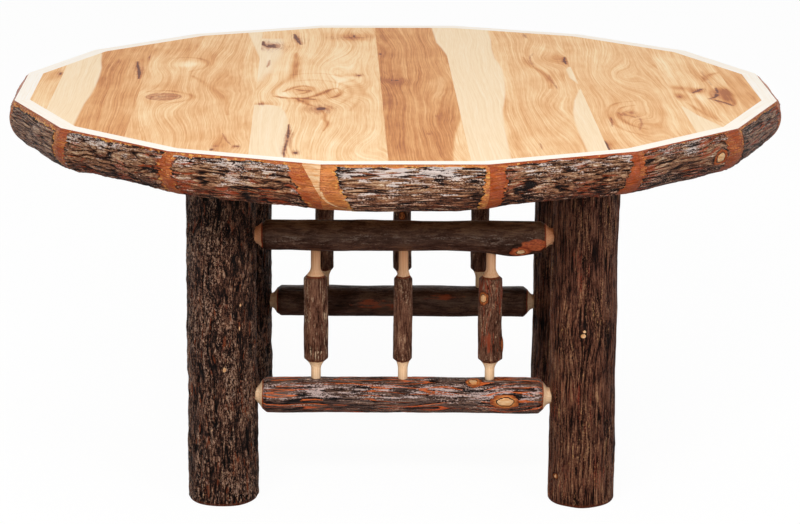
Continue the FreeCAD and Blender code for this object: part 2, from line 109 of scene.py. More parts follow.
def make_camera():
    data = bpy.data.cameras.new("camera")
    data.sensor_width = SENSOR
    data.lens = LENS
    data.clip_end = 100.0
    camera = bpy.data.objects.new("camera", data)
    bpy.context.scene.collection.objects.link(camera)
    camera.matrix_world = (
        Matrix.Translation(CAMERA_PLACE)
        @ Matrix.Rotation(YAW, 4, "Z")
        @ Matrix.Rotation(math.pi / 2 - PITCH_DOWN, 4, "X")
        @ Matrix.Rotation(ROLL, 4, "Z")
    )
    bpy.context.scene.camera = camera


def make_lamp(name, place, target, width, height, power):
    data = bpy.data.lights.new(name, "AREA")
    data.shape = "RECTANGLE"
    data.size, data.size_y, data.energy = width, height, power
    lamp = bpy.data.objects.new(name, data)
    bpy.context.scene.collection.objects.link(lamp)
    back = np.array(place) - np.array(target)
    back = back / np.linalg.norm(back)
    side = np.cross((0.0, 0.0, 1.0), back)
    side = side / np.linalg.norm(side)
    turn = Matrix((side, np.cross(back, side), back)).transposed().to_4x4()
    lamp.matrix_world = Matrix.Translation(place) @ turn


# node helpers
def linear(colour):
    """A colour written in the usual 0 to 255 turned into Blender's linear one."""
    shares = [c / 255 for c in colour]
    return tuple(c / 12.92 if c <= 0.04045 else ((c + 0.055) / 1.055) ** 2.4 for c in shares) + (1.0,)


class Nodes:
    """Builds the nodes of one material or world with short calls.

    A value is a number, a vector, another node's output or, for a colour, three numbers from 0 to 255."""

    def __init__(self, owner):
        self.owner = owner
        owner.use_nodes = True
        self.tree = owner.node_tree
        self.tree.nodes.clear()

    def put(self, socket, value):
        if isinstance(value, bpy.types.NodeSocket):
            self.tree.links.new(value, socket)
        else:
            socket.default_value = linear(value) if socket.type == "RGBA" else value

    def add(self, kind, values=(), **settings):
        node = self.tree.nodes.new("ShaderNode" + kind)
        for name, value in settings.items():
            setattr(node, name, value)
        for key, value in dict(values).items():
            self.put(node.inputs[key], value)
        return node

    def attribute(self, name, output="Fac"):
        return self.add("Attribute", attribute_name=name).outputs[output]

    def object_place(self):
        return self.add("TexCoord").outputs["Object"]

    def apart(self, vector):
        return self.add("SeparateXYZ", {0: vector}).outputs

    def noise(self, vector, scales=(1.0, 1.0, 1.0), detail=3.0, roughness=0.55):
        scaled = self.add("VectorMath", {0: vector, 1: scales}, operation="MULTIPLY").outputs[0]
        values = {"Vector": scaled, "Scale": 1.0, "Detail": detail, "Roughness": roughness}
        return self.add("TexNoise", values).outputs["Fac"]

    def lines(self, value, scale, detail, roughness):
        values = {"W": value, "Scale": scale, "Detail": detail, "Roughness": roughness}
        return self.add("TexNoise", values, noise_dimensions="1D").outputs["Fac"]

    def math(self, operation, a, b=0.0):
        return self.add("Math", {0: a, 1: b}, operation=operation).outputs[0]

    def plus(self, a, b):
        return self.math("ADD", a, b)

    def minus(self, a, b):
        return self.math("SUBTRACT", a, b)

    def times(self, a, b):
        return self.math("MULTIPLY", a, b)

    def size(self, a):
        return self.math("ABSOLUTE", a)

    def varied(self, value, *parts):
        """value moved up and down by noises, each with a share."""
        for noise, share in parts:
            value = self.plus(value, self.times(self.minus(noise, 0.5), share))
        return value

    def step(self, value, low, high, to_low=0.0, to_high=1.0):
        """Smooth step of value from low to high."""
        values = {0: value, 1: low, 2: high, 3: to_low, 4: to_high}
        return self.add("MapRange", values, interpolation_type="SMOOTHSTEP").outputs[0]

    def mix(self, share, a, b, blend="MIX"):
        return self.add("Mix", {0: share, 6: a, 7: b}, data_type="RGBA", blend_type=blend).outputs[2]

    def ramp(self, value, *stops):
        node = self.add("ValToRGB", {0: value})
        elements = node.color_ramp.elements
        while len(elements) < len(stops):
            elements.new(0.5)
        for element, (place, colour) in zip(elements, stops):
            element.position, element.color = place, linear(colour)
        return node.outputs[0]

    def bump(self, height, distance, strength):
        return self.add("Bump", {"Height": height, "Distance": distance, "Strength": strength}).outputs[0]

    def finish(self, colour, normal, **constants):
        shader = self.add("BsdfPrincipled", {"Base Color": colour, "Normal": normal})
        for name, value in constants.items():
            self.put(shader.inputs[name.replace("_", " ")], value)
        self.add("OutputMaterial", {"Surface": shader.outputs[0]})
        return self.owner


def material_nodes(name):
    return Nodes(bpy.data.materials.new(name))


# materials
BARK_COLOURS = {
    # stops run from a fissure to a ridge. warm colours reddish lines, and pale colours light streaks and the
    # painted highlights. bare is smooth wood, light and deep. cracks gives the lines per metre across and
    # along the pole. threads is a colour for thin lines of inner bark, with a share that is larger the rarer
    # they are.
    "leg_bark": dict(
        stops=((0.03, (8, 3, 2)), (0.24, (28, 13, 8)), (0.46, (72, 40, 25)), (0.70, (112, 70, 46)),
               (0.94, (184, 150, 124))),
        warm=(136, 60, 24), pale=(172, 142, 124), bare=((176, 100, 52), (96, 42, 20)), cracks=(115.0, 40.0),
        rough=0.26, shine=0.36, contrast=2.2, threads=((122, 56, 26), 0.56), grooves=1.5),
    "ridged_bark": dict(
        stops=((0.05, (14, 4, 2)), (0.28, (44, 20, 12)), (0.50, (88, 48, 31)), (0.76, (118, 74, 50)),
               (0.98, (164, 124, 88))),
        warm=(124, 42, 22), pale=(150, 110, 78), bare=((176, 100, 52), (96, 42, 20)), cracks=(120.0, 9.0),
        rough=0.32, shine=0.26, contrast=1.1, grooves=1.25),
    "lower_rail_bark": dict(
        stops=((0.03, (10, 3, 2)), (0.28, (30, 13, 8)), (0.50, (70, 42, 30)), (0.75, (98, 68, 54)),
               (0.97, (144, 116, 98))),
        warm=(150, 64, 28), pale=(208, 184, 178), bare=((206, 128, 66), (164, 74, 30)), cracks=(95.0, 9.0),
        rough=0.22, shine=0.50, contrast=1.6, threads=((210, 98, 36), 0.42)),
    "upper_rail_bark": dict(
        stops=((0.05, (26, 12, 6)), (0.50, (66, 38, 23)), (0.97, (114, 84, 62))),
        warm=(150, 66, 30), pale=(124, 104, 92), bare=((206, 108, 62), (150, 62, 34)), cracks=(90.0, 20.0),
        rough=0.36, shine=0.30, contrast=0.6, grooves=0.35),
    "spindle_bark": dict(
        stops=((0.05, (32, 15, 9)), (0.28, (62, 35, 23)), (0.50, (90, 55, 39)), (0.74, (114, 76, 56)),
               (0.97, (160, 126, 98))),
        warm=(134, 58, 34), pale=(176, 150, 122), bare=((196, 114, 62), (124, 56, 28)), cracks=(150.0, 26.0),
        rough=0.38, shine=0.20, contrast=0.9, grooves=0.55),
    "rim_bark": dict(
        stops=((0.05, (14, 5, 3)), (0.26, (46, 21, 11)), (0.48, (112, 68, 40)), (0.72, (166, 120, 82)),
               (0.97, (214, 186, 154))),
        warm=(156, 68, 28), pale=(218, 202, 194), bare=((216, 134, 70), (164, 68, 20)), cracks=(125.0, 8.0),
        rough=0.26, shine=0.45, contrast=1.3, threads=((166, 76, 32), 0.58)),
}
FLAKES = (190, 92, 30), (240, 184, 96)
CREAM_WOOD = (216, 150, 92), (240, 202, 156)
# painted warm light from the floor: a pole's underside is tinted warmer
PAINTED_FLOOR_LIGHT = (255, 208, 168)


def bark_pattern(n, ragged, across, length):
    """Cracks and grit of the material's own, and the ridges of the mesh with ragged borders."""
    def line(value, width):
        return n.step(n.size(n.minus(value, 0.5)), 0.0, width, 1.0, 0.0)

    crack = line(ragged(across, length, 4.0), 0.045)
    split = line(ragged(across * 2.2, length * 2.4), 0.055)
    streak = ragged(across * 2.6, length * 2.6, 4.0, 0.7)
    grit = ragged(430.0, 280.0, 3.0, 0.7)
    patch = n.step(ragged(26.0, 9.0, 3.0, 0.6), 0.40, 0.60)
    shake = n.minus(n.plus(streak, n.times(grit, 0.9)), 0.95)
    shake = n.times(shake, n.plus(n.times(patch, 0.7), 0.65))
    shake = n.varied(shake, (patch, 0.05))
    net = n.apart(n.attribute("net", "Vector"))
    main, side = [n.plus(part, n.times(shake, 0.30)) for part in (net[0], net[1])]
    fissure = n.times(n.step(n.size(main), 0.03, 0.15, 1.0, 0.0), net[2])
    groove = n.step(n.size(side), 0.02, 0.12, 1.0, 0.0)
    return ((crack, 0.26), (split, 0.18), (fissure, 0.34), (groove, 0.16)), split, streak, grit, shake, main


def bark_material(name, stops, warm, pale, bare, cracks, rough, shine, contrast, threads=None, grooves=1.0):
    """Bark coloured by the mesh's own fields and by finer cracks and grit of its own."""
    n = material_nodes(name)
    place = n.attribute("place", "Vector")
    across, length = cracks

    def ragged(wide, tall, detail=3.0, roughness=0.65):
        return n.noise(place, (wide, wide, tall), detail, roughness)

    hollows, split, streak, grit, shake, main = bark_pattern(n, ragged, across, length)

    def share_of(field, low, high, shaken, most=1.0):
        value = n.plus(n.attribute(field), n.times(shake, shaken * min(1.0, contrast)))
        return n.step(value, low, high, 0.0, most)

    relief = n.plus(n.attribute("relief"), n.times(shake, contrast))
    for lines, depth in hollows:
        relief = n.minus(relief, n.times(lines, depth * grooves))
    colour = n.ramp(relief, *stops)
    colour = n.mix(share_of("warm", 0.38, 0.66, 1.4, 0.85), colour, warm)
    colour = n.mix(share_of("pale", 0.36, 0.70, 2.4, 0.90), colour, pale)
    if threads:
        thread, few = threads
        beside = n.times(n.step(main, 0.08, 0.13), n.step(main, 0.22, 0.28, 1.0, 0.0))
        here = n.step(ragged(across * 0.9, length * 0.7, 3.0, 0.6), few, few + 0.05, 0.0, 0.9)
        colour = n.mix(n.times(beside, here), colour, thread)
    # painted warm light from the floor, multiplied in where the surface faces down
    facing = n.apart(n.add("NewGeometry").outputs["Normal"])[2]
    colour = n.mix(n.step(facing, -0.95, 0.15, 1.0, 0.0), colour, PAINTED_FLOOR_LIGHT, "MULTIPLY")
    light_wood, deep_wood = bare
    wood = n.mix(share_of("deep", 0.0, 1.0, 2.2), light_wood, deep_wood)
    wood = n.mix(n.times(split, 0.45), wood, [c * 0.45 for c in deep_wood])
    colour = n.mix(share_of("peel", 0.42, 0.56, 0.3), colour, wood)
    colour = n.mix(share_of("gold", 0.40, 0.60, 1.4, 0.9), colour, n.mix(n.step(grit, 0.42, 0.60), *FLAKES))
    colour = n.mix(n.step(n.attribute("edge"), 0.0016, 0.0036, 0.9, 0.0), colour, deep_wood)
    cream = n.mix(n.step(streak, 0.38, 0.62), *CREAM_WOOD)
    colour = n.mix(share_of("fleck", 0.42, 0.56, 0.4), colour, cream)
    rough_here = n.step(relief, 0.2, 0.9, rough + 0.2, rough)
    shine_here = n.step(relief, 0.15, 0.7, shine * 0.3, shine)
    normal = n.bump(n.plus(relief, n.times(grit, 0.4)), 0.0016, 0.9)
    return n.finish(colour, normal, Roughness=rough_here, Specular_IOR_Level=shine_here)


def cut_wood_material(name, dark, middle, light, tan, painted_shade_tint=None):
    """Bare wood of a tenon, a flare or the rim's planed top, tinted pinker higher up as painted warm shade.
    """
    n = material_nodes(name)
    place = n.attribute("place", "Vector")
    grain = n.noise(place, (420.0, 420.0, 9.0), 4.0, 0.6)
    cloud = n.noise(place, (30.0, 30.0, 8.0), 2.0)
    colour = n.ramp(grain, (0.30, dark), (0.5, middle), (0.72, light))
    colour = n.mix(n.step(cloud, 0.42, 0.75, 0.0, 0.35), colour, tan)
    if painted_shade_tint:
        # painted shade: a pinker tint multiplied in higher up, where the top shades the wood
        colour = n.mix(n.step(n.apart(n.object_place())[2], 0.37, 0.62), colour, painted_shade_tint, "MULTIPLY")
    return n.finish(colour, n.bump(grain, 0.0003, 0.5), Roughness=0.5, Specular_IOR_Level=0.1)


def plank_material():
    """Varnished hickory: lines that follow the field 'ring', pale sapwood, tan heartwood and dark knots."""
    n = material_nodes("plank_wood")
    place = n.attribute("place", "Vector")
    _, deep, up = n.apart(place)
    flow = n.add("CombineXYZ", {0: n.attribute("ring"), 1: deep, 2: up}).outputs[0]
    wide = n.noise(flow, (0.55, 1.3, 1.0), 2.0, 0.5)
    thin = n.noise(flow, (2.5, 2.4, 1.0), 3.0, 0.62)
    hair = n.noise(flow, (5.2, 4.0, 1.0), 2.0, 0.6)
    fibre = n.noise(place, (430.0, 14.0, 20.0), 3.0, 0.6)
    cloud = n.noise(place, (20.0, 7.0, 10.0), 4.0, 0.6)
    tone = n.attribute("tone")
    tone = n.varied(tone, (cloud, 0.60), (wide, 0.62), (thin, 0.76), (hair, 0.60), (fibre, 0.40))
    heart = n.ramp(
        n.times(tone, 0.8), (0.0, (254, 231, 194)), (0.22, (248, 211, 162)), (0.40, (238, 189, 135)),
        (0.60, (222, 160, 100)), (0.80, (200, 130, 70)), (1.0, (164, 94, 46)),
    )
    sap_tone = n.plus(n.times(thin, 0.6), n.times(fibre, 0.4))
    sap = n.ramp(sap_tone, (0.30, (240, 208, 164)), (0.52, (249, 222, 184)), (0.75, (253, 234, 206)))
    colour = n.mix(n.step(n.attribute("sap"), -0.0025, 0.0035), heart, sap)
    knot = n.attribute("knot")
    burn = n.varied(knot, (thin, 0.60), (fibre, 0.40), (hair, 0.35), (cloud, 0.50))
    burn = n.times(burn, n.step(knot, 0.02, 0.12))
    colour = n.mix(n.step(burn, 0.10, 0.62, 0.0, 0.80), colour, (178, 104, 58))
    colour = n.mix(n.step(burn, 0.62, 0.86, 0.0, 0.92), colour, (92, 46, 32))
    normal = n.bump(n.plus(fibre, thin), 0.00012, 0.35)
    return n.finish(colour, normal, Roughness=0.45, Specular_IOR_Level=0.05)


def board_material():
    """Plain planed hickory of the battens."""
    n = material_nodes("batten_wood")
    place = n.object_place()
    warp = n.noise(place, (3.0, 9.0, 9.0), 2.0)
    grain = n.lines(n.plus(n.apart(place)[1], n.times(warp, 0.05)), 260.0, 3.0, 0.6)
    fibre = n.noise(place, (24.0, 700.0, 700.0))
    tone = n.plus(n.times(grain, 0.7), n.times(fibre, 0.3))
    colour = n.ramp(tone, (0.3, (242, 212, 172)), (0.5, (226, 182, 134)), (0.7, (198, 146, 98)))
    return n.finish(colour, n.bump(tone, 0.0003, 0.5), Roughness=0.55, Specular_IOR_Level=0.3)


def steel_material():
    n = material_nodes("steel")
    wear = n.noise(n.object_place(), (240.0, 240.0, 240.0), 4.0)
    colour = n.ramp(wear, (0.35, (122, 120, 116)), (0.65, (178, 176, 172)))
    rough = n.step(wear, 0.3, 0.7, 0.28, 0.48)
    return n.finish(colour, n.bump(wear, 0.0001, 0.4), Metallic=1.0, Roughness=rough)


def make_floor():
    """A white floor that keeps a soft shadow."""
    size = FLOOR_HALF_SIZE
    mesh = bpy.data.meshes.new("floor")
    corners = [(-size, -size, 0.0), (size, -size, 0.0), (size, size, 0.0), (-size, size, 0.0)]
    mesh.from_pydata(corners, [], [(0, 1, 2, 3)])
    floor = bpy.data.objects.new("floor", mesh)
    bpy.context.scene.collection.objects.link(floor)
    n = material_nodes("floor")
    camera_ray = n.add("LightPath").outputs["Is Camera Ray"]
    grit = n.noise(n.object_place(), (40.0, 40.0, 40.0), 2.0)
    colour = n.mix(n.times(grit, 0.03), (196, 196, 195), (180, 180, 179))
    plain = n.add("BsdfPrincipled", {"Base Color": colour, "Roughness": 0.8, "Specular IOR Level": 0.1})
    glow = n.add("Emission", {"Color": WHITE, "Strength": FLOOR_GLOW})
    dim = n.add("BsdfDiffuse", {"Color": colour})
    seen = n.add("MixShader", {0: FLOOR_GLOW_SHARE, 1: dim.outputs[0], 2: glow.outputs[0]})
    both = n.add("MixShader", {0: camera_ray, 1: plain.outputs[0], 2: seen.outputs[0]})
    n.add("OutputMaterial", {"Surface": both.outputs[0]})
    mesh.materials.append(n.owner)


def make_world():
    """A world that is white to the camera and to reflections, and dimmer as a light."""
    world = bpy.data.worlds.new("studio")
    bpy.context.scene.world = world
    n = Nodes(world)
    path = n.add("LightPath").outputs
    shiny = n.math("MAXIMUM", path["Is Glossy Ray"], path["Is Transmission Ray"])
    clear = n.math("MAXIMUM", path["Is Camera Ray"], shiny)
    light = n.add("Background", {0: WHITE, 1: WORLD_LIGHT})
    white = n.add("Background", {0: WHITE, 1: 1.0})
    mixed = n.add("MixShader", {0: clear, 1: light.outputs[0], 2: white.outputs[0]})
    n.add("OutputWorld", {0: mixed.outputs[0]})


# seeded noise
def chance(a, b, seed):
    """A number from 0 to 1 for each pair of whole numbers."""
    mixed = (a * 374761393 + b * 668265263 + seed * 974634777) & 0xFFFFFFFF
    mixed = ((mixed ^ (mixed >> 13)) * 1274126177) & 0xFFFFFFFF
    return ((mixed ^ (mixed >> 16)) & 0xFFFFFF) / float(0x1000000)


def noise(u, v, seed, wrap=None):
    """Smooth noise from about -1 to 1. With wrap it repeats after that many cells of u."""
    iu, iv = np.floor(u).astype(np.int64), np.floor(v).astype(np.int64)
    fu, fv = u - iu, v - iv
    su = fu ** 3 * (fu * (fu * 6 - 15) + 10)
    sv = fv ** 3 * (fv * (fv * 6 - 15) + 10)
    total = 0.0
    for du in (0, 1):
        for dv in (0, 1):
            cell = (iu + du) % wrap if wrap else iu + du
            angle = 2 * math.pi * chance(cell, iv + dv, seed)
            weight = (su if du else 1 - su) * (sv if dv else 1 - sv)
            total = total + weight * (np.cos(angle) * (fu - du) + np.sin(angle) * (fv - dv))
    return total * 1.5


def fractal(u, v, seed, octaves, wrap=None):
    total, scale, share = 0.0, 1, 1.0
    for octave in range(octaves):
        cells = wrap * scale if wrap else None
        total = total + share * noise(u * scale, v * scale, seed + 31 * octave, cells)
        scale, share = scale * 2, share / 2
    return total


def two_noises(u, v, fine, coarse, seed):
    """Fine noise with some coarse noise, each with a width and a length."""
    first = noise(u / fine[0], v / fine[1], seed)
    return first + 0.6 * noise(u / coarse[0], v / coarse[1], seed + 1)


def smooth(value, low, high):
    share = np.clip((value - low) / (high - low), 0.0, 1.0)
    return share * share * (3 - 2 * share)


def metres(values):
    """Millimetres from a table turned into metres."""
    return tuple(value / 1000 for value in values)


def lift(found, key, value):
    """Raises a field of the bark to a value where it is lower."""
    found[key] = np.maximum(found[key], value)


# bark
BARKS = {
    # width and length of a ridge, how much it weaves, depth of the fissures and how wide they open, size of a
    # lump and how far lumps stand off. tone: middle, then shares of ridges, side ridges, fine lines, lumps
    # and slow changes. warm and pale: how much of the reddish lines and of the pale streaks there is.
    "chunky": dict(width=0.0105, length=0.110, weave=0.5, depth=0.0030, open=0.16, lump=(0.012, 0.034),
                   steps=0.0030, tone=(0.53, 0.22, 0.12, 0.08, 0.12, 0.12), warm=0.35, pale=0.16),
    "ridged": dict(width=0.0066, length=0.170, weave=0.35, depth=0.0024, open=0.22, lump=(0.015, 0.060),
                   steps=0.0008, tone=(0.62, 0.22, 0.20, 0.14, 0.05, 0.05), warm=0.45, pale=0.18),
    "streaked": dict(width=0.0080, length=0.120, weave=0.35, depth=0.0026, open=0.20, lump=(0.010, 0.030),
                     steps=0.0014, tone=(0.60, 0.26, 0.18, 0.12, 0.08, 0.07), warm=0.30, pale=0.22),
    "scaly": dict(width=0.0090, length=0.075, weave=0.6, depth=0.0036, open=0.22, lump=(0.010, 0.022),
                  steps=0.0030, tone=(0.60, 0.32, 0.20, 0.14, 0.11, 0.09), warm=0.60, pale=0.35),
    "wavy": dict(width=0.0085, length=0.130, weave=0.7, depth=0.0014, open=0.14, lump=(0.014, 0.060),
                 steps=0.0005, tone=(0.60, 0.40, 0.10, 0.08, 0.08, 0.12), warm=0.05, pale=0.10),
    "smooth": dict(width=0.0080, length=0.110, weave=0.5, depth=0.0004, open=0.20, lump=(0.016, 0.040),
                   steps=0.0005, tone=(0.56, 0.10, 0.10, 0.10, 0.14, 0.26), warm=0.25, pale=0.12),
    "thin": dict(width=0.0056, length=0.090, weave=0.35, depth=0.0008, open=0.18, lump=(0.012, 0.030),
                 steps=0.0005, tone=(0.58, 0.22, 0.18, 0.12, 0.14, 0.18), warm=0.40, pale=0.20),
}
BARK_FIELDS = ("relief", "warm", "pale", "peel", "deep", "gold", "fleck", "net")


# rise: how far a knot stands out. core: share of it that is its middle. bare, pale and eye: how much bare
# wood, cream wood and inner ring it has. folds: wrinkles round it. shade: how dark it is.
PLAIN_KNOT = dict(rise=0.003, core=0.55, bare=1.0, pale=1.0, eye=0.0, folds=0.0, shade=0.15)
PLAIN_BULGE = dict(bare=0.0, warm=0.0)


def marks(rows, radius, start=0.0, plain=PLAIN_KNOT):
    """Knots and the like from rows of degrees round, place along, half width and half length, and more.

    The three lengths are in millimetres, and start is where the pole begins on the world's axis."""
    found = []
    for degrees, along, wide, tall, *more in rows:
        along, wide, tall = metres((along, wide, tall))
        around = math.radians(degrees % 360) * radius
        place = dict(around=around, along=along - start, wide=wide, tall=tall)
        found.append({**plain, **dict(*more), **place})
    return found


def offset_to(mark, around, girth):
    """How far round the pole each point is from a mark, the shorter way."""
    return (around - mark["around"] + girth / 2) % girth - girth / 2


def distance_to(mark, around, along, girth):
    """0 in the middle of a mark and 1 on its edge."""
    return np.hypot(offset_to(mark, around, girth) / mark["wide"], (along - mark["along"]) / mark["tall"])


def bark(kind, around, along, girth, seed, knots=(), **changes):
    """Height of the bark in metres and the fields that colour it, at the distance around and along a pole."""
    look = {**BARKS[kind], **changes}
    flow = around
    for knot in knots:
        near = np.exp(-distance_to(knot, around, along, girth) ** 2 / 5.0)
        flow = flow - offset_to(knot, around, girth) * near * 0.8
    turn = flow / girth
    cells = max(6, round(girth / look["width"]))
    slow = max(2, cells // 4)
    v = along / look["length"]
    bend = noise(turn * slow, v * 1.4, seed + 1, slow)
    bend = bend + 0.8 * noise(turn * 2 + 0.3, along / 0.20, seed + 2, 2)
    bend = look["weave"] * bend + 0.30 * look["weave"] * noise(turn * cells, v * 3.0, seed + 16, cells)

    def ridges(times, bent, stretch, number):
        return noise(turn * cells * times + bent * bend, v * stretch, seed + number, cells * times)

    main, side, fine = ridges(1, 1.0, 1.0, 3), ridges(2, 1.9, 1.9, 4), ridges(3, 2.6, 3.6, 12)
    presence = smooth(noise(turn * slow * 2, v * 2.3, seed + 17, slow * 2), -0.45, 0.35)
    deep = np.exp(-(main / look["open"]) ** 2) * (0.30 + 0.70 * presence)
    thin = np.exp(-(side / look["open"]) ** 2) * (1 - 0.4 * presence)
    hair = np.exp(-np.abs(fine) / look["open"])
    wide, tall = look["lump"]
    lump_cells = max(4, round(girth / wide))
    lumps = fractal(turn * lump_cells + 0.6 * bend, along / tall, seed + 5, 2, lump_cells)
    slow_tone = fractal(turn * 3 + 5.1, along / 0.09, seed + 9, 3, 3)
    height = look["depth"] * (0.42 - deep - 0.35 * thin - 0.15 * hair) + 0.5 * look["steps"] * lumps
    middle, *shares = look["tone"]
    parts = (0.40 - deep, 0.35 - thin + 0.5 * side, 0.40 - hair + 0.7 * fine, lumps, 0.8 * slow_tone)
    relief = middle + sum(share * part for share, part in zip(shares, parts))
    warm = smooth(ridges(2, 2.0, 1.2, 10) + 0.6 * slow_tone, 0.10, 0.60) * look["warm"]
    streaks = ridges(2, 2.0, 2.6, 14) + 0.6 * noise(turn * 3, along / 0.05, seed + 15, 3)
    pale = smooth(streaks, 0.20, 0.80) * look["pale"] * 1.6 * smooth(relief, 0.35, 0.6)
    none = np.zeros_like(height)
    out = dict(
        height=height, relief=np.clip(relief, 0, 1), warm=warm, pale=pale, peel=none, deep=none + 0.5,
        gold=none, fleck=none, net=np.stack([main, side, presence], axis=-1),
    )
    for knot in knots:
        add_knot(out, knot, around, along, girth, seed)
    return out


def add_knot(out, knot, around, along, girth, seed):
    """An eye in the bark: an orange halo that runs out along the pole, a dark line and a cream middle."""
    offset = offset_to(knot, around, girth)
    wobble = 1 + 0.16 * noise(offset / 0.007 + 3.7, (along - knot["along"]) / 0.011, seed + 50)
    far = distance_to(knot, around, along, girth) * wobble
    core = knot["core"]
    inside = 1 - smooth(far, 0.9, 1.4)
    for key in ("height", "peel", "deep", "warm", "pale", "gold"):
        out[key] = out[key] * (1 - inside)
    folds = knot["folds"] * np.sin(far * 9.0 + 2.0 * wobble) * np.exp(-(far / 1.5) ** 2)
    out["height"] = (
        out["height"] + knot["rise"] * np.exp(-(far / 0.95) ** 2)
        - 0.0008 * np.exp(-((far - core) / 0.12) ** 2) + 0.0010 * folds
    )
    out["deep"] = out["deep"] + inside * smooth(far, core, 1.05)
    lift(out, "peel", knot["bare"] * (1 - smooth(far, 0.92, 1.12)))
    lift(out, "fleck", knot["pale"] * (1 - smooth(far, core - 0.06, core + 0.06)))
    eye = 0.8 * np.exp(-((far - 0.35 * core) / 0.09) ** 2) * knot["eye"]
    ring = np.clip(np.exp(-((far - core) / 0.07) ** 2) + eye, 0, 1)
    out["peel"] = out["peel"] * (1 - ring)
    out["fleck"] = out["fleck"] * (1 - ring * 0.9)
    relief = (out["relief"] + 0.35 * folds) * (1 - 0.8 * inside) + knot["shade"] * inside
    out["relief"] = np.clip(relief, 0, 1)


# meshes
def ring_faces(count, size):
    """Corners of the four-sided faces between rings, and of the fans that close the first and last ring."""
    index = np.arange(count * size).reshape(count, size)
    right = np.roll(index, -1, axis=1)
    quads = np.stack([index[:-1], right[:-1], right[1:], index[1:]], axis=-1).reshape(-1, 4)
    front = np.stack([np.full(size, count * size), right[0], index[0]], axis=-1)
    end = np.stack([np.full(size, count * size + 1), index[-1], right[-1]], axis=-1)
    return quads, front, end


def add_fields(mesh, fields):
    """The fields as attributes of the points, with a value of their own at the two fans' middles."""
    for key, values in fields.items():
        if values.ndim == 3:
            tail = np.array([values[0].mean(axis=0), values[-1].mean(axis=0)])
            attribute = mesh.attributes.new(key, "FLOAT_VECTOR", "POINT")
            whole, source = np.concatenate([values.reshape(-1, 3), tail]), "vector"
        else:
            attribute = mesh.attributes.new(key, "FLOAT", "POINT")
            whole, source = np.concatenate([values.ravel(), np.zeros(2)]), "value"
        attribute.data.foreach_set(source, whole.astype(np.float32).ravel())


def skin(name, rings, materials, smooth_strips, wood_strips, fields, cad_node):
    """A closed mesh from rings of points that go once round the piece, with both ends filled by a fan.

    rings has the shape (rings, points round, 3). The two strip lists say for each strip round the piece, or
    each strip between two rings, whether it is shaded smooth and whether it is cut wood."""
    count, size = rings.shape[:2]
    quads, front, end = ring_faces(count, size)
    centres = (rings[[0, -1]].min(axis=1) + rings[[0, -1]].max(axis=1)) / 2
    points = np.concatenate([rings.reshape(-1, 3), centres])
    triangles = points[np.concatenate([quads[:, [0, 1, 2]], quads[:, [0, 2, 3]], front, end])]
    if np.einsum("ij,ij->i", triangles[:, 0], np.cross(triangles[:, 1], triangles[:, 2])).sum() < 0:
        quads, front, end = quads[:, ::-1], front[:, ::-1], end[:, ::-1]
    corners = np.concatenate([quads.ravel(), front.ravel(), end.ravel()])
    starts = np.concatenate([np.arange(len(quads)) * 4, len(quads) * 4 + np.arange(2 * size) * 3])
    mesh = bpy.data.meshes.new(name)
    mesh.vertices.add(len(points))
    mesh.vertices.foreach_set("co", points.astype(np.float32).ravel())
    mesh.loops.add(len(corners))
    mesh.loops.foreach_set("vertex_index", corners.astype(np.int32))
    mesh.polygons.add(len(starts))
    mesh.polygons.foreach_set("loop_start", starts.astype(np.int32))
    caps = np.zeros(2 * size, bool)
    smooth_faces = np.concatenate([np.broadcast_to(smooth_strips, (count - 1, size)).ravel(), caps])
    wood_faces = np.concatenate([np.broadcast_to(wood_strips, (count - 1, size)).ravel(), ~caps])
    mesh.polygons.foreach_set("use_smooth", smooth_faces)
    mesh.polygons.foreach_set("material_index", wood_faces.astype(np.int32))
    mesh.update(calc_edges=True)
    for material in materials:
        mesh.materials.append(material)
    add_fields(mesh, fields)
    piece = bpy.data.objects.new(name, mesh)
    bpy.context.scene.collection.objects.link(piece)
    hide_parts(cad_node)
    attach(piece, "root")


# poles of the base
UPRIGHT = ((1, 0, 0), (0, 1, 0), (0, 0, 1))


def dress_pole(found, around, along, girth, angle, seed, specks, bulges, painted_sheen):
    """Cream specks, a painted highlight along one side, and swellings with bare or reddish bark."""
    for speck in specks:
        lift(found, "fleck", 1 - smooth(distance_to(speck, around, along, girth), 0.7, 1.3))
    # painted highlight: the bark is made pale in a band facing the given angle, broken up by noise
    amount, degrees = painted_sheen
    up = smooth(np.cos(angle[None, :] - math.radians(degrees)), 0.80, 1.0) * amount
    shiny = two_noises(around, along, (0.0045, 0.040), (0.02, 0.06), seed + 24)
    lift(found, "pale", up * smooth(shiny, -0.5, 0.3) * smooth(found["relief"], 0.20, 0.55))
    for bulge in bulges:
        offset = offset_to(bulge, around, girth)
        far = distance_to(bulge, around, along, girth)
        found["height"] = found["height"] + bulge["rise"] * np.exp(-far ** 2)
        ragged = far * (1 + 0.35 * noise(offset / 0.010, along / 0.020, seed + 26))
        lift(found, "peel", bulge["bare"] * (1 - smooth(ragged, 0.2, 1.3)))
        streaky = 0.75 + 0.5 * noise(offset / 0.005, along / 0.03, seed + 27)
        lift(found, "warm", bulge["warm"] * (1 - smooth(ragged, 0.0, 1.4)) * streaky)


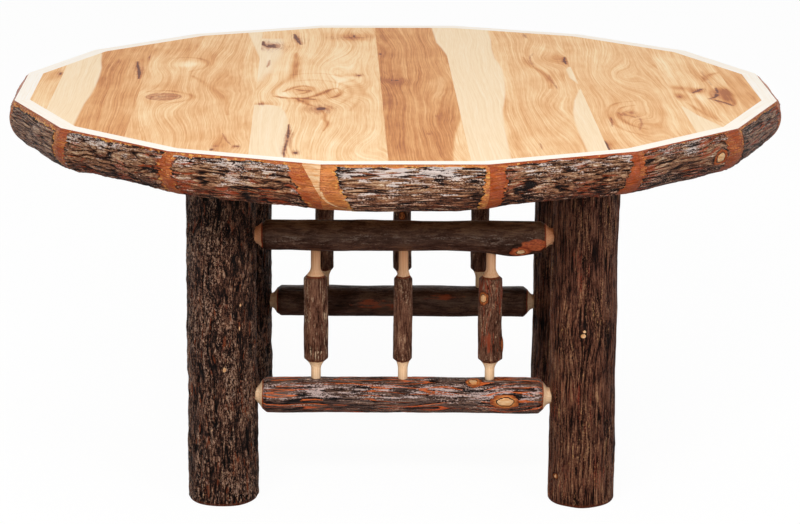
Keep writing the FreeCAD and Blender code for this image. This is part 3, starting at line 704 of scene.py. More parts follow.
def pole_piece(name, origin, axes, profile, span, kind, seed, slot_name, materials, knots, bow, specks=(),
               bulges=(), spacing=POLE_SPACING, painted_sheen=(0.0, 0.0), edge_share=1.0, **changes):
    """A round pole: profile gives radius by distance along, bark covers the span, and the rest is wood."""
    low, high = span
    stations, radii = profile
    inner = np.linspace(low, high, max(8, round((high - low) / spacing)))
    outer = [z for z in stations if z < low - 1e-6 or z > high + 1e-6]
    along = np.unique(np.round(np.concatenate([inner, outer]), 6))
    base = np.interp(along, stations, radii)
    girth = 2 * math.pi * base.max()
    size = max(24, round(girth / spacing))
    angle = np.arange(size) / size * 2 * math.pi
    around, lengths = np.meshgrid(angle / (2 * math.pi) * girth, along)
    found = bark(kind, around, lengths, girth, seed, knots, **changes)
    dress_pole(found, around, lengths, girth, angle, seed, specks, bulges, painted_sheen)
    from_edge = np.minimum(lengths - low, high - lengths)
    on_bark = (from_edge >= -1e-9).astype(float)
    near_edge = np.exp(-(np.minimum(abs(lengths - low), abs(lengths - high)) / EDGE_FADE) ** 2)
    wave = 0.0016 * fractal(around / girth * 5, lengths * 0 + seed, seed + 20, 2, 5)
    moved = np.clip(lengths + wave * near_edge, along[0], along[-1])
    shape = 0.0016 * noise(around / girth * 2 + 0.5, lengths / 0.16, seed + 21, 2)
    shape = shape + 0.0008 * noise(around / girth * 3 + 0.5, lengths / 0.07, seed + 22, 3)
    radius = base[:, None] + (found["height"] + shape) * smooth(from_edge, -0.0001, EDGE_FADE) * on_bark
    share = (along - along[0]) / (along[-1] - along[0])
    curve = bow * (np.sin(math.pi * share) ** 2) * noise(along / 0.25, along * 0 + 0.5, seed + 23)
    local = np.stack([radius * np.cos(angle) + curve[:, None], radius * np.sin(angle), moved], axis=-1)
    middles = (along[:-1] + along[1:]) / 2
    wood = ((middles < low) | (middles > high))[:, None]
    fields = {key: found[key] for key in BARK_FIELDS}
    fields["place"] = local + seed * POLE_SHIFT
    fields["edge"] = np.where(on_bark > 0, from_edge, 0.0) * edge_share
    world = local @ np.array(axes) + np.array(origin)
    skin(name + "_barked", world, materials, True, wood, fields, name)


def measure(node, axis):
    """Where a CAD pole starts on the axis that it runs along, its length and its radius."""
    low, high = [np.array(corner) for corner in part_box(node)]
    start = (low + high) / 2
    start[axis] = low[axis]
    across = 2 if axis < 2 else 0
    return start, high[axis] - low[axis], (high[across] - low[across]) / 2


LEGS = {
    # kind of bark, seed, then knots and cream specks as (degrees from +X, height, half width, half height) in
    # millimetres
    "leg_front_left": ("chunky", 11, (
        (-66, 500, 22, 30, dict(rise=0.0030, pale=0.0, bare=0.0, shade=0.45, folds=1.0)),
        (-112, 530, 18, 26, dict(rise=0.0020, pale=0.0, bare=0.0, shade=0.40, folds=0.8)),
        (-88, 345, 16, 22, dict(rise=0.0015, pale=0.0, bare=0.0, shade=0.40, folds=0.8)),
        (-104, 440, 14, 22, dict(rise=0.0010, pale=0.0, bare=0.0, shade=0.35, folds=0.8)),
    ), ((-54, 408, 2.4, 3), (-84, 281, 3.4, 4.8), (-57, 362, 1.8, 4))),
    "leg_front_right": ("ridged", 12, (
        (-94.3, 357, 15, 21, dict(rise=0.0040, core=0.25, pale=0.0, bare=0.0, shade=0.42, folds=0.7)),
        (-144.1, 59, 7, 6, dict(rise=0.001)),
        (-17.8, 120, 11, 16, dict(rise=0.0030, bare=0.0, pale=0.0, shade=0.4)),
    ), ((-93, 353, 4.8, 4.2), (-91, 362, 3, 2.6))),
    "leg_back_right": ("ridged", 13, (), ()),
    "leg_back_left": ("chunky", 14, (), ()),
}
# a leg's bark starts this far above the floor and ends this far below its top, and its dark edge is wider
LEG_BARK_LOW, LEG_BARK_HIGH = 0.0012, 0.0005
LEG_EDGE_SHARE = 0.5
# it is straight for this far below its top
LEG_TOP_PLAIN = 0.002


def make_leg(name, materials):
    kind, seed, knots, specks = LEGS[name]
    start, height, radius = measure(name, 2)
    top = radius * LEG_TAPER
    stations = np.array([up for up, _ in FOOT_PROFILE] + [height - LEG_TOP_PLAIN, height])
    radii = np.array([radius - less for _, less in FOOT_PROFILE] + [top, top])
    span = (LEG_BARK_LOW, height - LEG_BARK_HIGH)
    pole_piece(
        name, start, UPRIGHT, (stations, radii), span, kind, seed, "leg_bark", materials,
        marks(knots, radius), LEG_BOW, marks(specks, radius), edge_share=LEG_EDGE_SHARE,
    )


def turned_ends(length, span, radius, tenon, flare, bevel, shoulder, steps, power):
    """Distances along a pole and its radii: a bevel, a hollow flare and a tenon at each end of the bark."""
    low, high = span
    steps = np.array(steps)
    edge, far = radius * shoulder, radius * POLE_TAPER
    hollow = tenon + (edge - tenon) * steps ** power
    middle = [low, low + bevel, high - bevel, high]
    stations = [[0.0], low - flare + flare * steps, middle, (high + flare * (1 - steps))[::-1], [length]]
    radii = [[tenon], hollow, [edge, radius, far, far * shoulder], hollow[::-1], [tenon]]
    return np.concatenate(stations), np.concatenate(radii)


RAILS = {
    # outward direction, kind of bark, seed, knots as (degrees up from outward, place along the world's axis,
    # half width, half length) in millimetres
    "front_lower_rail": ((0, -1, 0), "wavy", 21, (
        (64, 157, 13, 15, dict(rise=0.0025, core=0.55, eye=0.8)),
        (-5.4, 219, 14, 27, dict(rise=0.0028, core=0.64, eye=0.4)),
    )),
    "front_upper_rail": ((0, -1, 0), "smooth", 22, ((-44, 245, 10, 20, dict(rise=0.0010, core=0.45)),)),
    "right_lower_rail": ((1, 0, 0), "wavy", 23, ()),
    "right_upper_rail": ((1, 0, 0), "smooth", 24, ()),
    # the back lower rail has the darker, smoother bark of the upper rails: partly its own look, partly
    # painted shade
    "back_lower_rail": ((0, 1, 0), "smooth", 25, ()),
    "back_upper_rail": ((0, 1, 0), "smooth", 26, ()),
    "left_lower_rail": ((-1, 0, 0), "wavy", 27, ()),
    "left_upper_rail": ((-1, 0, 0), "smooth", 28, ()),
}
RAIL_BULGES = {
    # swellings, measured as the knots are
    "front_upper_rail": (
        (-68, 232, 30, 50, dict(rise=0.0095)), (-22, 275, 18, 45, dict(rise=0.001, bare=0.75)),
    ),
    "back_lower_rail": (
        (178, -40, 17, 64, dict(rise=0.001, warm=0.95)), (152, 110, 13, 52, dict(rise=0.0, warm=1.0)),
    ),
}
# how much painted highlight a rail has, and where, in degrees up from outward
RAIL_PAINTED_SHEENS = {"wavy": (0.58, 24.0), "smooth": (0.45, -6.0)}


def make_rail(name, materials):
    outward, kind, seed, knots = RAILS[name]
    axis = 0 if outward[0] == 0 else 1
    start, length, radius = measure(name, axis)
    span = (RAIL_BARK_FROM_TIP, length - RAIL_BARK_FROM_TIP)
    axes = (outward, (0, 0, 1), UPRIGHT[axis])
    bulges = marks(RAIL_BULGES.get(name, ()), radius, start[axis], PLAIN_BULGE)
    pole_piece(
        name, start, axes, turned_ends(length, span, radius, **RAIL_ENDS), span, kind, seed, "rail_bark",
        materials, marks(knots, radius, start[axis]), RAIL_BOW, bulges=bulges, painted_sheen=RAIL_PAINTED_SHEENS[kind],
    )


SPINDLE_PLACES = {"front": ("left", "middle", "right"), "right": ("front", "middle", "back"),
                  "back": ("right", "middle", "left"), "left": ("back", "middle", "front")}
SPINDLE_KNOTS = {
    # measured as the legs' knots are
    "front_spindle_right": (
        (-129, 415, 11.5, 13.5, dict(rise=0.0022, core=0.60, eye=0.5)),
        (-12, 319, 8, 18, dict(rise=0.0040, bare=0.6, core=0.2, pale=0.0)),
    ),
    "back_spindle_middle": ((-94.3, 410, 7, 9, dict(rise=0.001, pale=0.0)),),
}
SPINDLE_CHANGES = {
    # how the front spindles differ: grey and speckled, plain, reddish
    "front_spindle_left": dict(pale=0.55, warm=0.15), "front_spindle_middle": dict(pale=0.05, warm=0.35),
    "front_spindle_right": dict(pale=0.15, warm=0.95),
}


def make_spindle(name, seed, materials):
    start, height, radius = measure(name, 2)
    span = (SPINDLE_BARK_LOW, height - SPINDLE_BARK_HIGH)
    pole_piece(
        name, start, UPRIGHT, turned_ends(height, span, radius, **SPINDLE_ENDS), span, "thin", seed,
        "spindle_bark", materials, marks(SPINDLE_KNOTS.get(name, ()), radius, start[2]), SPINDLE_BOW,
        spacing=SPINDLE_SPACING, **SPINDLE_CHANGES.get(name, {}),
    )


# rim
def rotated(points, angle):
    """Points turned about the middle of the top."""
    c, s = math.cos(angle), math.sin(angle)
    out = points.copy()
    out[..., 0] = c * points[..., 0] - s * points[..., 1]
    out[..., 1] = s * points[..., 0] + c * points[..., 1]
    return out


# kind of bark, width of bare wood at the left end (top, bottom) and at the right end seen from outside, depth
# of the bare strip along the top, all in millimetres, how much gold there is, how reddish the bare wood is,
# and changes to the bark
PLAIN_RIM = ("streaked", (10, 14), (12, 14), 12, 0.2, 0.6, {})
RIM_LOOKS = {
    10: ("streaked", (12, 14), (22, 16), 10, 1.0, 0.6, {}),
    11: ("scaly", (30, 10), (14, 18), 5, 0.7, 0.7, dict(warm=0.6)),
    12: ("scaly", (14, 16), (62, 30), 6, 0.5, 0.6, dict(warm=0.8)),
    13: ("streaked", (30, 52), (8, 12), 6, 0.9, 0.15, dict(pale=0.6)),
    14: ("scaly", (34, 28), (14, 30), 4, 0.2, 0.9, dict(warm=0.55)),
    15: ("streaked", (16, 10), (44, 40), 3, 0.3, 0.7, dict(warm=0.9)),
    16: ("streaked", (12, 12), (14, 14), 6, 0.7, 0.6,
         dict(warm=0.85, pale=0.0, tone=(0.52, 0.26, 0.18, 0.12, 0.08, 0.07))),
}
RIM_KNOTS = {
    15: ((-14, 88, 16, 19, dict(rise=0.002, core=0.62, eye=0.5)),),
    14: ((-14, -73, 6, 8, dict(rise=0.001, bare=0.0, pale=0.0, shade=0.1)),),
}
# how far the bark stands out next to the planed top
RIM_LIPS = {1: 0.0045, 9: 0.0045}
# how much painted silver-grey highlight the bark's upper side has
RIM_PAINTED_SILVER = {10: 0.15, 11: 0.50, 12: 0.50, 13: 1.0, 14: 0.45, 15: 0.35, 16: 0.05}
PLAIN_PAINTED_SILVER = 0.3
RIM_PALE = {
    # whitish places on the bark as (degrees, place along, half height, half length) in millimetres
    11: ((18.6, -26, 10, 20),), 12: ((-5, -18, 8, 16),), 13: ((45, -60, 12, 70), (40, 60, 10, 50)),
    14: ((-16.5, -91, 6, 12),), 15: ((11.6, 1, 12, 26),),
}
# the cream wedge of planed wood at the right end of pole 12, and the cream line that goes on from it down the
# left end of pole 13, as (degrees down, metres along)
WEDGE_POLE, LINE_POLE = 12, 13
CREAM_SHAPES = {
    WEDGE_POLE: ((-32.0, 0.116), (-20.0, 0.124), (-5.0, 0.135), (10.0, 0.144), (25.0, 0.152),
                 (60.0, 0.160)),
    LINE_POLE: ((10.0, -0.151), (25.0, -0.147), (40.0, -0.138), (55.0, -0.124), (70.0, -0.100)),
}


def rim_section(share, rows):
    """Radius, centre and angles of a rim pole's section, top edge first, for girth shares down the pole."""
    radius = RIM_RADIUS * share
    inset = RIM_CENTRE_INSET * share
    centre = PLANKS_HALF_WIDTH - inset
    drop = np.sqrt(radius ** 2 - (RIM_EDGE - centre) ** 2)
    top = np.arcsin(drop / radius)
    low = -np.arccos(inset / radius)
    angles = top[:, None] + (low - top)[:, None] * np.linspace(0, 1, rows)[None, :]
    return radius[:, None], centre[:, None], TOP_HEIGHT - drop[:, None], angles


def paint_rim_light_and_marks(number, found, around, along, degrees, girth_radius, seed):
    """Painted highlight above and shade below, whitish places, and the cream wedge and line of poles 12, 13.
    """
    # painted highlight: silver grey on the upper side of the bark, broken up by noise and kept off the cracks
    shiny = two_noises(around, along, (0.0036, 0.030), (0.016, 0.05), seed + 46)
    painted_silver = smooth(degrees, -6.0, 22.0) * smooth(found["relief"], 0.30, 0.60) * smooth(shiny, -0.5, 0.4)
    lift(found, "pale", painted_silver * RIM_PAINTED_SILVER.get(number, PLAIN_PAINTED_SILVER))
    for middle, *sizes in RIM_PALE.get(number, ()):
        x, tall, wide = metres(sizes)
        far = np.hypot((degrees - middle) * math.pi / 180 * girth_radius / tall, (along - x) / wide)
        lift(found, "pale", 0.75 * (1 - smooth(far, 0.2, 1.3)) * smooth(found["relief"], 0.35, 0.7))
    # painted shade: the bark is darker on the pole's lower side
    found["relief"] = found["relief"] - 0.22 * smooth(-degrees, 10.0, 50.0)
    if number in CREAM_SHAPES:
        from_line = along - np.interp(-degrees, *zip(*CREAM_SHAPES[number]))
    if number == WEDGE_POLE:
        lift(found, "fleck", smooth(from_line, -0.001, 0.001))
    if number == LINE_POLE:
        lift(found, "fleck", np.exp(-(from_line / 0.0030) ** 2) * smooth(-degrees, 8.0, 16.0))


def bare_rim_ends(look, found, down_pole, along, half, degrees, seed):
    """Bare wood at the mitred ends and along the top edge, with teeth of bark and gold at its border."""
    _, left, right, strip, gold, red, _ = look
    left, right, (strip,) = metres(left), metres(right), metres((strip,))
    down = smooth(-degrees, -35.0, 60.0)
    teeth = 0.007 * noise(down_pole / 0.0045, along / 0.030, seed + 41)
    teeth = teeth + 0.005 * noise(down_pole / 0.016, along / 0.05, seed + 43)
    from_left = along + half - (left[0] + (left[1] - left[0]) * down) + teeth
    from_right = half - along - (right[0] + (right[1] - right[0]) * down) + teeth
    from_top = (down_pole[:, :1] - down_pole) - strip + 0.35 * teeth
    inwards = np.minimum(np.minimum(from_left, from_right), from_top)
    bare = 1 - smooth(inwards, -0.0012, 0.0012)
    lift(found, "peel", bare)
    flakes = noise(down_pole / 0.005, along / 0.011, seed + 44)
    border = np.exp(-((inwards + 0.0025) / 0.0045) ** 2)
    found["gold"] = smooth(flakes + 0.6 * gold, 0.35, 0.9) * border
    wander = noise(down_pole / 0.02, along / 0.03, seed + 45)
    found["deep"] = np.clip(red + 0.35 * wander + 0.25 * down, 0, 1)
    dark_line = np.exp(-((inwards - 0.0016) / 0.0014) ** 2)
    found["relief"] = found["relief"] * (1 - 0.7 * dark_line)
    return bare


def rim_height(number, found, bare, around, along, down_pole, from_ends, seed):
    """How far the surface stands off the pole's section: bark, bare wood, a swell, a lip and even ends."""
    from_top = down_pole[:, :1] - down_pole
    fade = smooth(from_top, 0.0, EDGE_FADE) * smooth(down_pole - down_pole[:, -1:], -0.001, 0.004)
    swell = 0.0020 * noise(around / 0.05, along / 0.09, seed + 42)
    swell = swell + RIM_LIPS.get(number, 0.0) * np.exp(-((from_top - 0.006) / 0.012) ** 2)
    at_end = sum(np.exp(-(far / MITRE_FADE) ** 2) for far in from_ends)
    height = found["height"] * (1 - 0.88 * bare) - 0.0012 * bare + swell
    return (height * (1 - at_end)[:, None] - 0.0010 * at_end[:, None] ** 4) * fade


def rim_rings(share, out, up):
    """Rings round a rim pole, as distances out, up and across: inside first, then planed top and bark."""
    bottom = up[:, -1:]
    inner = bottom + (TOP_HEIGHT - bottom) * np.linspace(0, 1, RIM_INNER_ROWS + 2)[1:-1]
    band = np.linspace(PLANKS_HALF_WIDTH, RIM_EDGE, RIM_BAND_ROWS + 1)[:-1]
    band = np.broadcast_to(band, (len(share), RIM_BAND_ROWS))
    ring_out = np.concatenate([np.full(inner.shape, PLANKS_HALF_WIDTH), band, out], axis=1)
    ring_up = np.concatenate([inner, np.full(band.shape, TOP_HEIGHT), up], axis=1)
    return ring_out, ring_up, share[:, None] * ring_out * math.tan(math.pi / TOP_SIDES)


def make_rim_pole(number, materials):
    """One split pole: flat inside and planed on top, bark outside, its ends on the mitre planes."""
    before, own, after = [RIM_GIRTHS[(number + step) % TOP_SIDES] for step in (-2, -1, 0)]
    seed = RIM_SEED + number
    look = RIM_LOOKS.get(number, PLAIN_RIM)
    half = RIM_EDGE * math.tan(math.pi / TOP_SIDES)
    columns = round(2 * half / RIM_SPACING_ALONG)
    share = np.linspace(-1, 1, columns)
    from_ends = half * (share + 1), half * (1 - share)
    near_low, near_high = [1 - smooth(far, 0.0, GIRTH_BLEND) for far in from_ends]
    girths = own + (before - own) / 2 * near_low + (after - own) / 2 * near_high
    rows = round(RIM_RADIUS * own * 2.2 / RIM_SPACING_DOWN)
    radius, centre, centre_height, angles = rim_section(girths, rows)
    along = np.broadcast_to((share * half)[:, None], angles.shape)
    girth_radius = RIM_RADIUS * own
    down_pole, degrees = angles * girth_radius, np.degrees(angles)
    around = (angles % (2 * math.pi)) * girth_radius
    knots = marks(RIM_KNOTS.get(number, ()), girth_radius)
    found = bark(look[0], around, along, 2 * math.pi * girth_radius, seed, knots, **look[-1])
    paint_rim_light_and_marks(number, found, around, along, degrees, girth_radius, seed)
    bare = bare_rim_ends(look, found, down_pole, along, half, degrees, seed)
    height = rim_height(number, found, bare, around, along, down_pole, from_ends, seed)
    out = centre + (radius + height) * np.cos(angles)
    up = centre_height + (radius + height) * np.sin(angles)
    ring_out, ring_up, across = rim_rings(share, out, up)
    points = rotated(np.stack([ring_out, across, ring_up], axis=-1), (number - 1) * 2 * math.pi / TOP_SIDES)
    cut = RIM_INNER_ROWS + RIM_BAND_ROWS

    def padded(values):
        return np.concatenate([np.zeros((columns, cut) + values.shape[2:]), values], axis=1)

    wood = np.ones(ring_out.shape[1], bool)
    wood[cut:-1] = False
    fields = {key: padded(found[key]) for key in BARK_FIELDS}
    fields["place"] = np.stack([ring_out, ring_up, across], axis=-1) + number * RIM_SHIFT
    fields["edge"] = padded(down_pole[:, :1] - down_pole + 0.0008)
    name = f"rim_pole_{number:02d}"
    skin(name + "_barked", rotated(points, TOP_TURN), materials, ~wood, wood, fields, name)


# planks
def spot(x, y, place):
    """1 in the middle of an oval (x, y, half width, half length), falling off smoothly over its sizes."""
    middle_x, middle_y, wide, tall = place
    return np.exp(-(((x - middle_x) / wide) ** 2 + ((y - middle_y) / tall) ** 2))


def rounded(points):
    """The same line with its corners cut off twice."""
    for _ in range(2):
        cut = [points[0]]
        for (ax, ay), (bx, by) in zip(points, points[1:]):
            cut.append((0.75 * ax + 0.25 * bx, 0.75 * ay + 0.25 * by))
            cut.append((0.25 * ax + 0.75 * bx, 0.25 * ay + 0.75 * by))
        points = cut + [points[-1]]
    return points


def stroke(x, y, points, width):
    """1 on a listed line of points, falling off over the width, with pointed ends."""
    total = np.zeros_like(x)
    points = rounded([metres(point) for point in points])
    lengths = np.hypot(*np.diff(np.array(points), axis=0).T)
    whole, done = lengths.sum(), 0.0
    for (ax, ay), (bx, by), length in zip(points, points[1:], lengths):
        share = np.clip(((x - ax) * (bx - ax) + (y - ay) * (by - ay)) / length ** 2, 0, 1)
        far = np.hypot(x - ax - share * (bx - ax), y - ay - share * (by - ay))
        place = (done + share * length) / whole
        thickness = width / 1000 * (0.35 + 0.65 * np.sin(math.pi * place))
        total = np.maximum(total, np.exp(-(far / thickness) ** 2))
        done += length
    return total


def rows_of(table, number):
    """A plank's ovals from a table, each as its place and sizes in metres and its amount."""
    return [(metres(row[:4]), row[4]) for row in table.get(number, ())]


# The tables from here to SHADES go by the number of the plank, and they and PLANK_EDGES are in millimetres.
GRAIN = {
    # lines per metre, sway of the lines, and tone
    1: (120, 12, 0.42), 2: (150, 14, 0.78), 3: (105, 22, 0.5), 4: (110, 22, 0.36), 5: (130, 22, 0.86),
    6: (120, 18, 0.5), 7: (105, 18, 0.5), 8: (110, 18, 0.46), 9: (120, 12, 0.68),
}
TURNS = {
    # knots that the lines go round, as (x, y, half width, half length, strength)
    2: ((-537, 190, 20, 120, 0.6),),
    3: ((-468, -113, 55, 70, 0.8), (-436, 250, 50, 80, 0.6), (-330, -600, 40, 60, 0.6)),
    4: ((-152, -240, 35, 50, 0.8), (-265, 480, 40, 60, 0.7), (-200, -60, 60, 90, 0.7),
        (-75, 620, 40, 80, 0.7)),
    5: ((0, 64, 30, 45, 0.7),),
    6: ((372, 311, 40, 70, 0.8),),
    7: ((450, -290, 30, 50, 0.6),),
    8: ((655, -90, 50, 100, 0.8), (575, -100, 30, 60, 0.6)),
    9: ((712, -110, 20, 50, 0.6),),
}
OVALS = {
    # long ovals of lines, as (x, y, half width, half length, number of lines)
    3: ((-385, 20, 50, 300, 4), (-470, -270, 50, 140, 3)),
    4: ((-140, 140, 50, 230, 7), (-90, -640, 50, 130, 5), (-110, -70, 50, 100, 4)),
    5: ((60, -200, 35, 250, 3),),
    6: ((310, 330, 45, 200, 5), (290, -250, 40, 300, 4)),
    7: ((450, -430, 45, 200, 6), (460, 120, 50, 260, 5)),
    8: ((620, -280, 40, 140, 3),),
}
TONES = {
    # darker and lighter places, as (x, y, half width, half length, share)
    1: ((-705, 120, 20, 50, 0.25),),
    2: ((-595, 100, 18, 350, 0.16),),
    3: ((-436, 258, 32, 34, -0.42), (-460, 180, 30, 60, -0.15), (-490, 450, 60, 120, 0.22),
        (-400, 330, 25, 90, 0.18), (-490, -10, 30, 40, 0.22), (-470, -240, 40, 60, -0.12),
        (-340, -560, 40, 80, 0.25), (-345, 0, 40, 300, 0.12)),
    4: ((-262, 490, 30, 45, 0.55), (-205, 540, 14, 110, 0.35), (-75, 610, 50, 60, 0.45),
        (-206, 250, 10, 180, 0.3), (-85, 130, 20, 22, 0.35), (-190, -40, 35, 45, 0.3),
        (-135, -90, 20, 50, 0.35), (-180, -150, 30, 25, 0.5), (-150, -230, 28, 40, 0.4),
        (-270, -190, 25, 25, 0.3), (-225, -90, 14, 35, -0.25), (-110, 300, 30, 200, -0.12)),
    5: ((0, 64, 30, 45, 0.35), (-10, -50, 22, 600, 0.2), (90, -350, 25, 80, 0.15)),
    6: ((360, 320, 25, 60, 0.3), (345, 450, 25, 60, -0.2), (325, 80, 12, 100, 0.25)),
    7: ((395, 480, 20, 120, 0.15), (450, -290, 25, 30, 0.3), (385, -590, 12, 60, 0.25)),
    8: ((650, 120, 30, 50, 0.25), (666, -60, 16, 60, 0.66), (664, -140, 11, 50, 0.58),
        (612, -45, 18, 30, 0.6), (573, -110, 12, 34, 0.55), (582, -12, 22, 26, 0.4),
        (607, -120, 15, 35, -0.35), (580, 260, 18, 150, -0.25)),
    9: ((712, -110, 14, 40, 0.2),),
}
SPOTS = {
    # dark knots, as (x, y, half width, half length, depth)
    1: ((-695.5, 142, 4, 22, 0.95),),
    2: ((-522, 342, 3, 22, 0.85), (-584, 289, 3, 26, 0.6)),
    3: ((-352, -632, 5, 14, 0.95), (-345, -600, 7, 7, 0.8), (-308, -603, 8, 12, 0.9)),
    4: ((-73, 125, 6, 12, 0.95), (-152, -238, 13, 21, 1.25), (-272, -190, 9, 12, 0.8),
        (-198, -661, 5, 12, 1.1), (-260, 487, 19, 34, 1.05), (-78, 597, 30, 14, 0.62),
        (-78, 610, 5, 30, 0.9)),
    5: ((-23.5, 386, 4, 14, 1), (0, 70, 18, 14, 0.8), (73, -312, 5, 12, 0.6), (52.5, -487, 4, 12, 0.6)),
    6: ((371, 300, 7, 24, 0.95),),
    7: ((442, -292, 6, 10, 0.75), (457, -278, 6, 14, 0.8)),
    8: ((651, -85, 6, 24, 0.95), (571, -112, 6, 18, 0.72)),
}
STROKES = {
    # dark streaks, as (depth, width, points)
    2: ((1.15, 5, ((-544, 290), (-541, 243), (-536, 197), (-532, 152), (-529, 85))),),
    3: ((0.85, 4.5, ((-500, -113), (-468, -115), (-436, -113))), (0.65, 3, ((-337, -480), (-330, -540),
        (-318, -590)))),
    4: ((1.05, 7, ((-281, 545), (-279, 490), (-262, 470), (-245, 460))), (1.05, 8, ((-212, 640),
        (-208, 590), (-202, 550), (-197, 505))), (0.6, 2.8, ((-262, 310), (-263, 260), (-267, 220))),
        (0.62, 4, ((-243, -112), (-225, -130))), (0.5, 3, ((-176, -40), (-170, -60))),
        (0.95, 4.2, ((-213, -395), (-212.5, -495), (-215, -571), (-220, -647), (-217.6, -712)))),
    5: ((0.72, 4.5, ((-20, 85), (0, 80), (12, 60), (0, 45), (-18, 48))), (0.5, 3, ((-26, 200),
        (-10, 120)))),
    6: ((1.05, 5, ((375, 350), (370, 300), (372, 262))), (0.62, 2.8, ((324, 150), (326, 60), (332, -35))),
        (0.6, 3.5, ((305, 660), (309, 590))), (0.55, 2.5, ((258, -560), (256, -640))),
        (0.5, 2.8, ((310, 400), (296, 330), (300, 230)))),
    7: ((1.1, 4.2, ((379, -550), (379.5, -600), (381, -645))), (0.72, 3, ((412, -320), (410, -380),
        (405, -420))), (0.6, 3, ((430, -270), (436, -310), (448, -300), (462, -330))),
        (0.55, 2.8, ((466, -300), (468, -380), (455, -450)))),
    8: ((1.05, 6, ((628, -130), (646, -112), (653, -60), (657, -10))), (0.85, 5.5, ((628, -130),
        (650, -160), (668, -205))), (0.92, 10, ((604, -66), (617, -42), (628, -20))), (0.5, 3, ((652, 180),
        (650, 90), (654, 0)))),
}
SHADES = {
    # soft brown lines, as (share, width, points)
    3: ((0.22, 11, ((-420, 120), (-385, 20), (-352, -90), (-336, -200), (-333, -300))),
        (0.26, 7, ((-505, -60), (-468, -40), (-425, -75), (-405, -115), (-425, -165), (-468, -190))),
        (0.25, 7, ((-470, 330), (-430, 345), (-392, 300), (-395, 215), (-430, 165)))),
    4: ((0.32, 9, ((-206, 400), (-204, 250), (-210, 110), (-238, 15), (-249.5, -50), (-244, -105),
        (-220, -128))), (0.7, 9, ((-246, -105), (-222, -128), (-192, -128), (-165, -140))),
        (0.62, 8, ((-185, -130), (-165, -105), (-148, -72), (-136, -40), (-122, -18))),
        (0.52, 6, ((-120, -16), (-110, -55), (-118, -110), (-140, -130))), (0.5, 6, ((-228, -60),
        (-208, -10), (-185, 12), (-165, -20), (-180, -70), (-200, -85))), (0.45, 5, ((-205, -30),
        (-185, -50), (-170, -45))), (0.22, 8, ((-205, 60), (-165, 80), (-120, 50), (-90, -20), (-90, -110),
        (-115, -190))), (0.18, 8, ((-215, 130), (-165, 160), (-105, 120), (-70, 20), (-68, -120),
        (-95, -260))), (0.55, 7, ((-200, -135), (-182, -185), (-165, -215))), (0.52, 5.5, ((-150, -255),
        (-143, -297), (-147, -343), (-137, -385), (-147, -460)))),
    6: ((0.35, 6, ((285, 350), (290, 250), (312, 180), (325, 60), (316, -20))),),
    7: ((0.4, 6, ((470, -200), (440, -220), (425, -290), (440, -400), (470, -440))), (0.3, 5, ((480, -150),
        (425, -180), (405, -300), (420, -450), (470, -510)))),
    8: ((0.4, 8, ((598, -90), (604, -200), (618, -340))), (0.32, 6, ((578, -170), (596, -270),
        (622, -370))), (0.35, 8, ((676, -20), (680, -100), (672, -190))), (0.3, 8, ((640, 60), (655, 130),
        (690, 170)))),
}
PLANK_EDGES = {
    # borders of the sapwood, and of the darker part of plank 5, as points (x, y)
    "sap_2": ((-648, 500), (-626, 380), (-622, 300), (-614.5, 210), (-612, 110), (-612, 0), (-614.5, -100),
        (-620, -190), (-622, -305), (-624, -450)),
    "sap_4_near": ((-290, -170), (-234, -213), (-223, -267), (-215, -343), (-214, -500), (-219, -750)),
    "sap_4_far": ((-290, 50), (-255, 160), (-240, 300), (-232, 470), (-245, 600)),
    "sap_5": ((200, 300), (121, 365), (111, 471), (103.5, 532), (100, 730)),
    "sap_6_left": ((227.5, 700), (227.5, 570), (223, 456), (223, 334), (229, 266), (230.5, 152),
        (227.5, 37.5), (223, -61), (215.3, -152.5), (206, -251), (202, -343), (198.6, -457), (195, -700)),
    "sap_6_wedge": ((395, 30), (373.5, -38.5), (354.5, -152.5), (343, -267), (339, -343), (337, -457),
        (339, -660)),
    "sap_6_small": ((380, 20), (366, 100), (366, 200), (376, 240)),
    "sap_8": ((565, -200), (585, -300), (620, -420), (660, -600)),
    "light_5": ((200, -200), (121, -260), (118.7, -358), (111, -411), (103.5, -472), (96, -571),
        (88, -740)),
}


# the ring round an open knot, as (x, y, half width, half length)
OPEN_KNOTS = {3: (-468, -113, 36, 40)}


def border(name, y):
    """x of a listed border at each y."""
    points = sorted((metres(point) for point in PLANK_EDGES[name]), key=lambda point: point[1])
    return np.interp(y, [py for _, py in points], [px for px, _ in points])


def plank_sap(number, x, y):
    """Positive in the pale sapwood, zero at its edge, in metres."""
    if number == 2:
        return border("sap_2", y) - x
    if number == 3:
        return np.minimum((x + 0.315) - 0.10 * (0.64 - y), 0.01)
    if number == 4:
        lower = np.minimum(border("sap_4_near", y) - x, -0.195 - y + 0.012 * noise(x / 0.03, y / 0.1, 7))
        upper = np.minimum(border("sap_4_far", y) - x, 0.58 - y) + 0.012 * noise(x / 0.03, y / 0.12, 8)
        return np.maximum(lower, 0.2 * upper)
    if number == 5:
        return np.where(y > 0.3, x - border("sap_5", y), -0.02)
    if number == 6:
        small = np.minimum(np.minimum(x - border("sap_6_small", y), 0.23 - y), y - 0.02)
        return np.maximum(np.maximum(border("sap_6_left", y) - x, x - border("sap_6_wedge", y)), small)
    if number == 8:
        return np.minimum(border("sap_8", y) - x, -0.21 - y)
    return np.full_like(x, -0.01)


def grain_of(number, x, y, seed):
    """The field that the grain lines follow: it grows by one from each line to the next."""
    lines, sway, _ = GRAIN[number]
    flow = x
    for place, strength in rows_of(TURNS, number):
        flow = flow - strength * (x - place[0]) * spot(x, y, place)
    sway = sway / 1000
    bend = noise(x / 0.16, y / 0.50, seed) * sway + 0.28 * sway * noise(x / 0.07, y / 0.20, seed + 40)
    bend = bend + 0.0010 * noise(x / 0.03, y / 0.045, seed + 80)
    ring = (flow + bend) * lines
    for place, count in rows_of(OVALS, number):
        ring = ring + count * spot(x, y, place)
    return ring


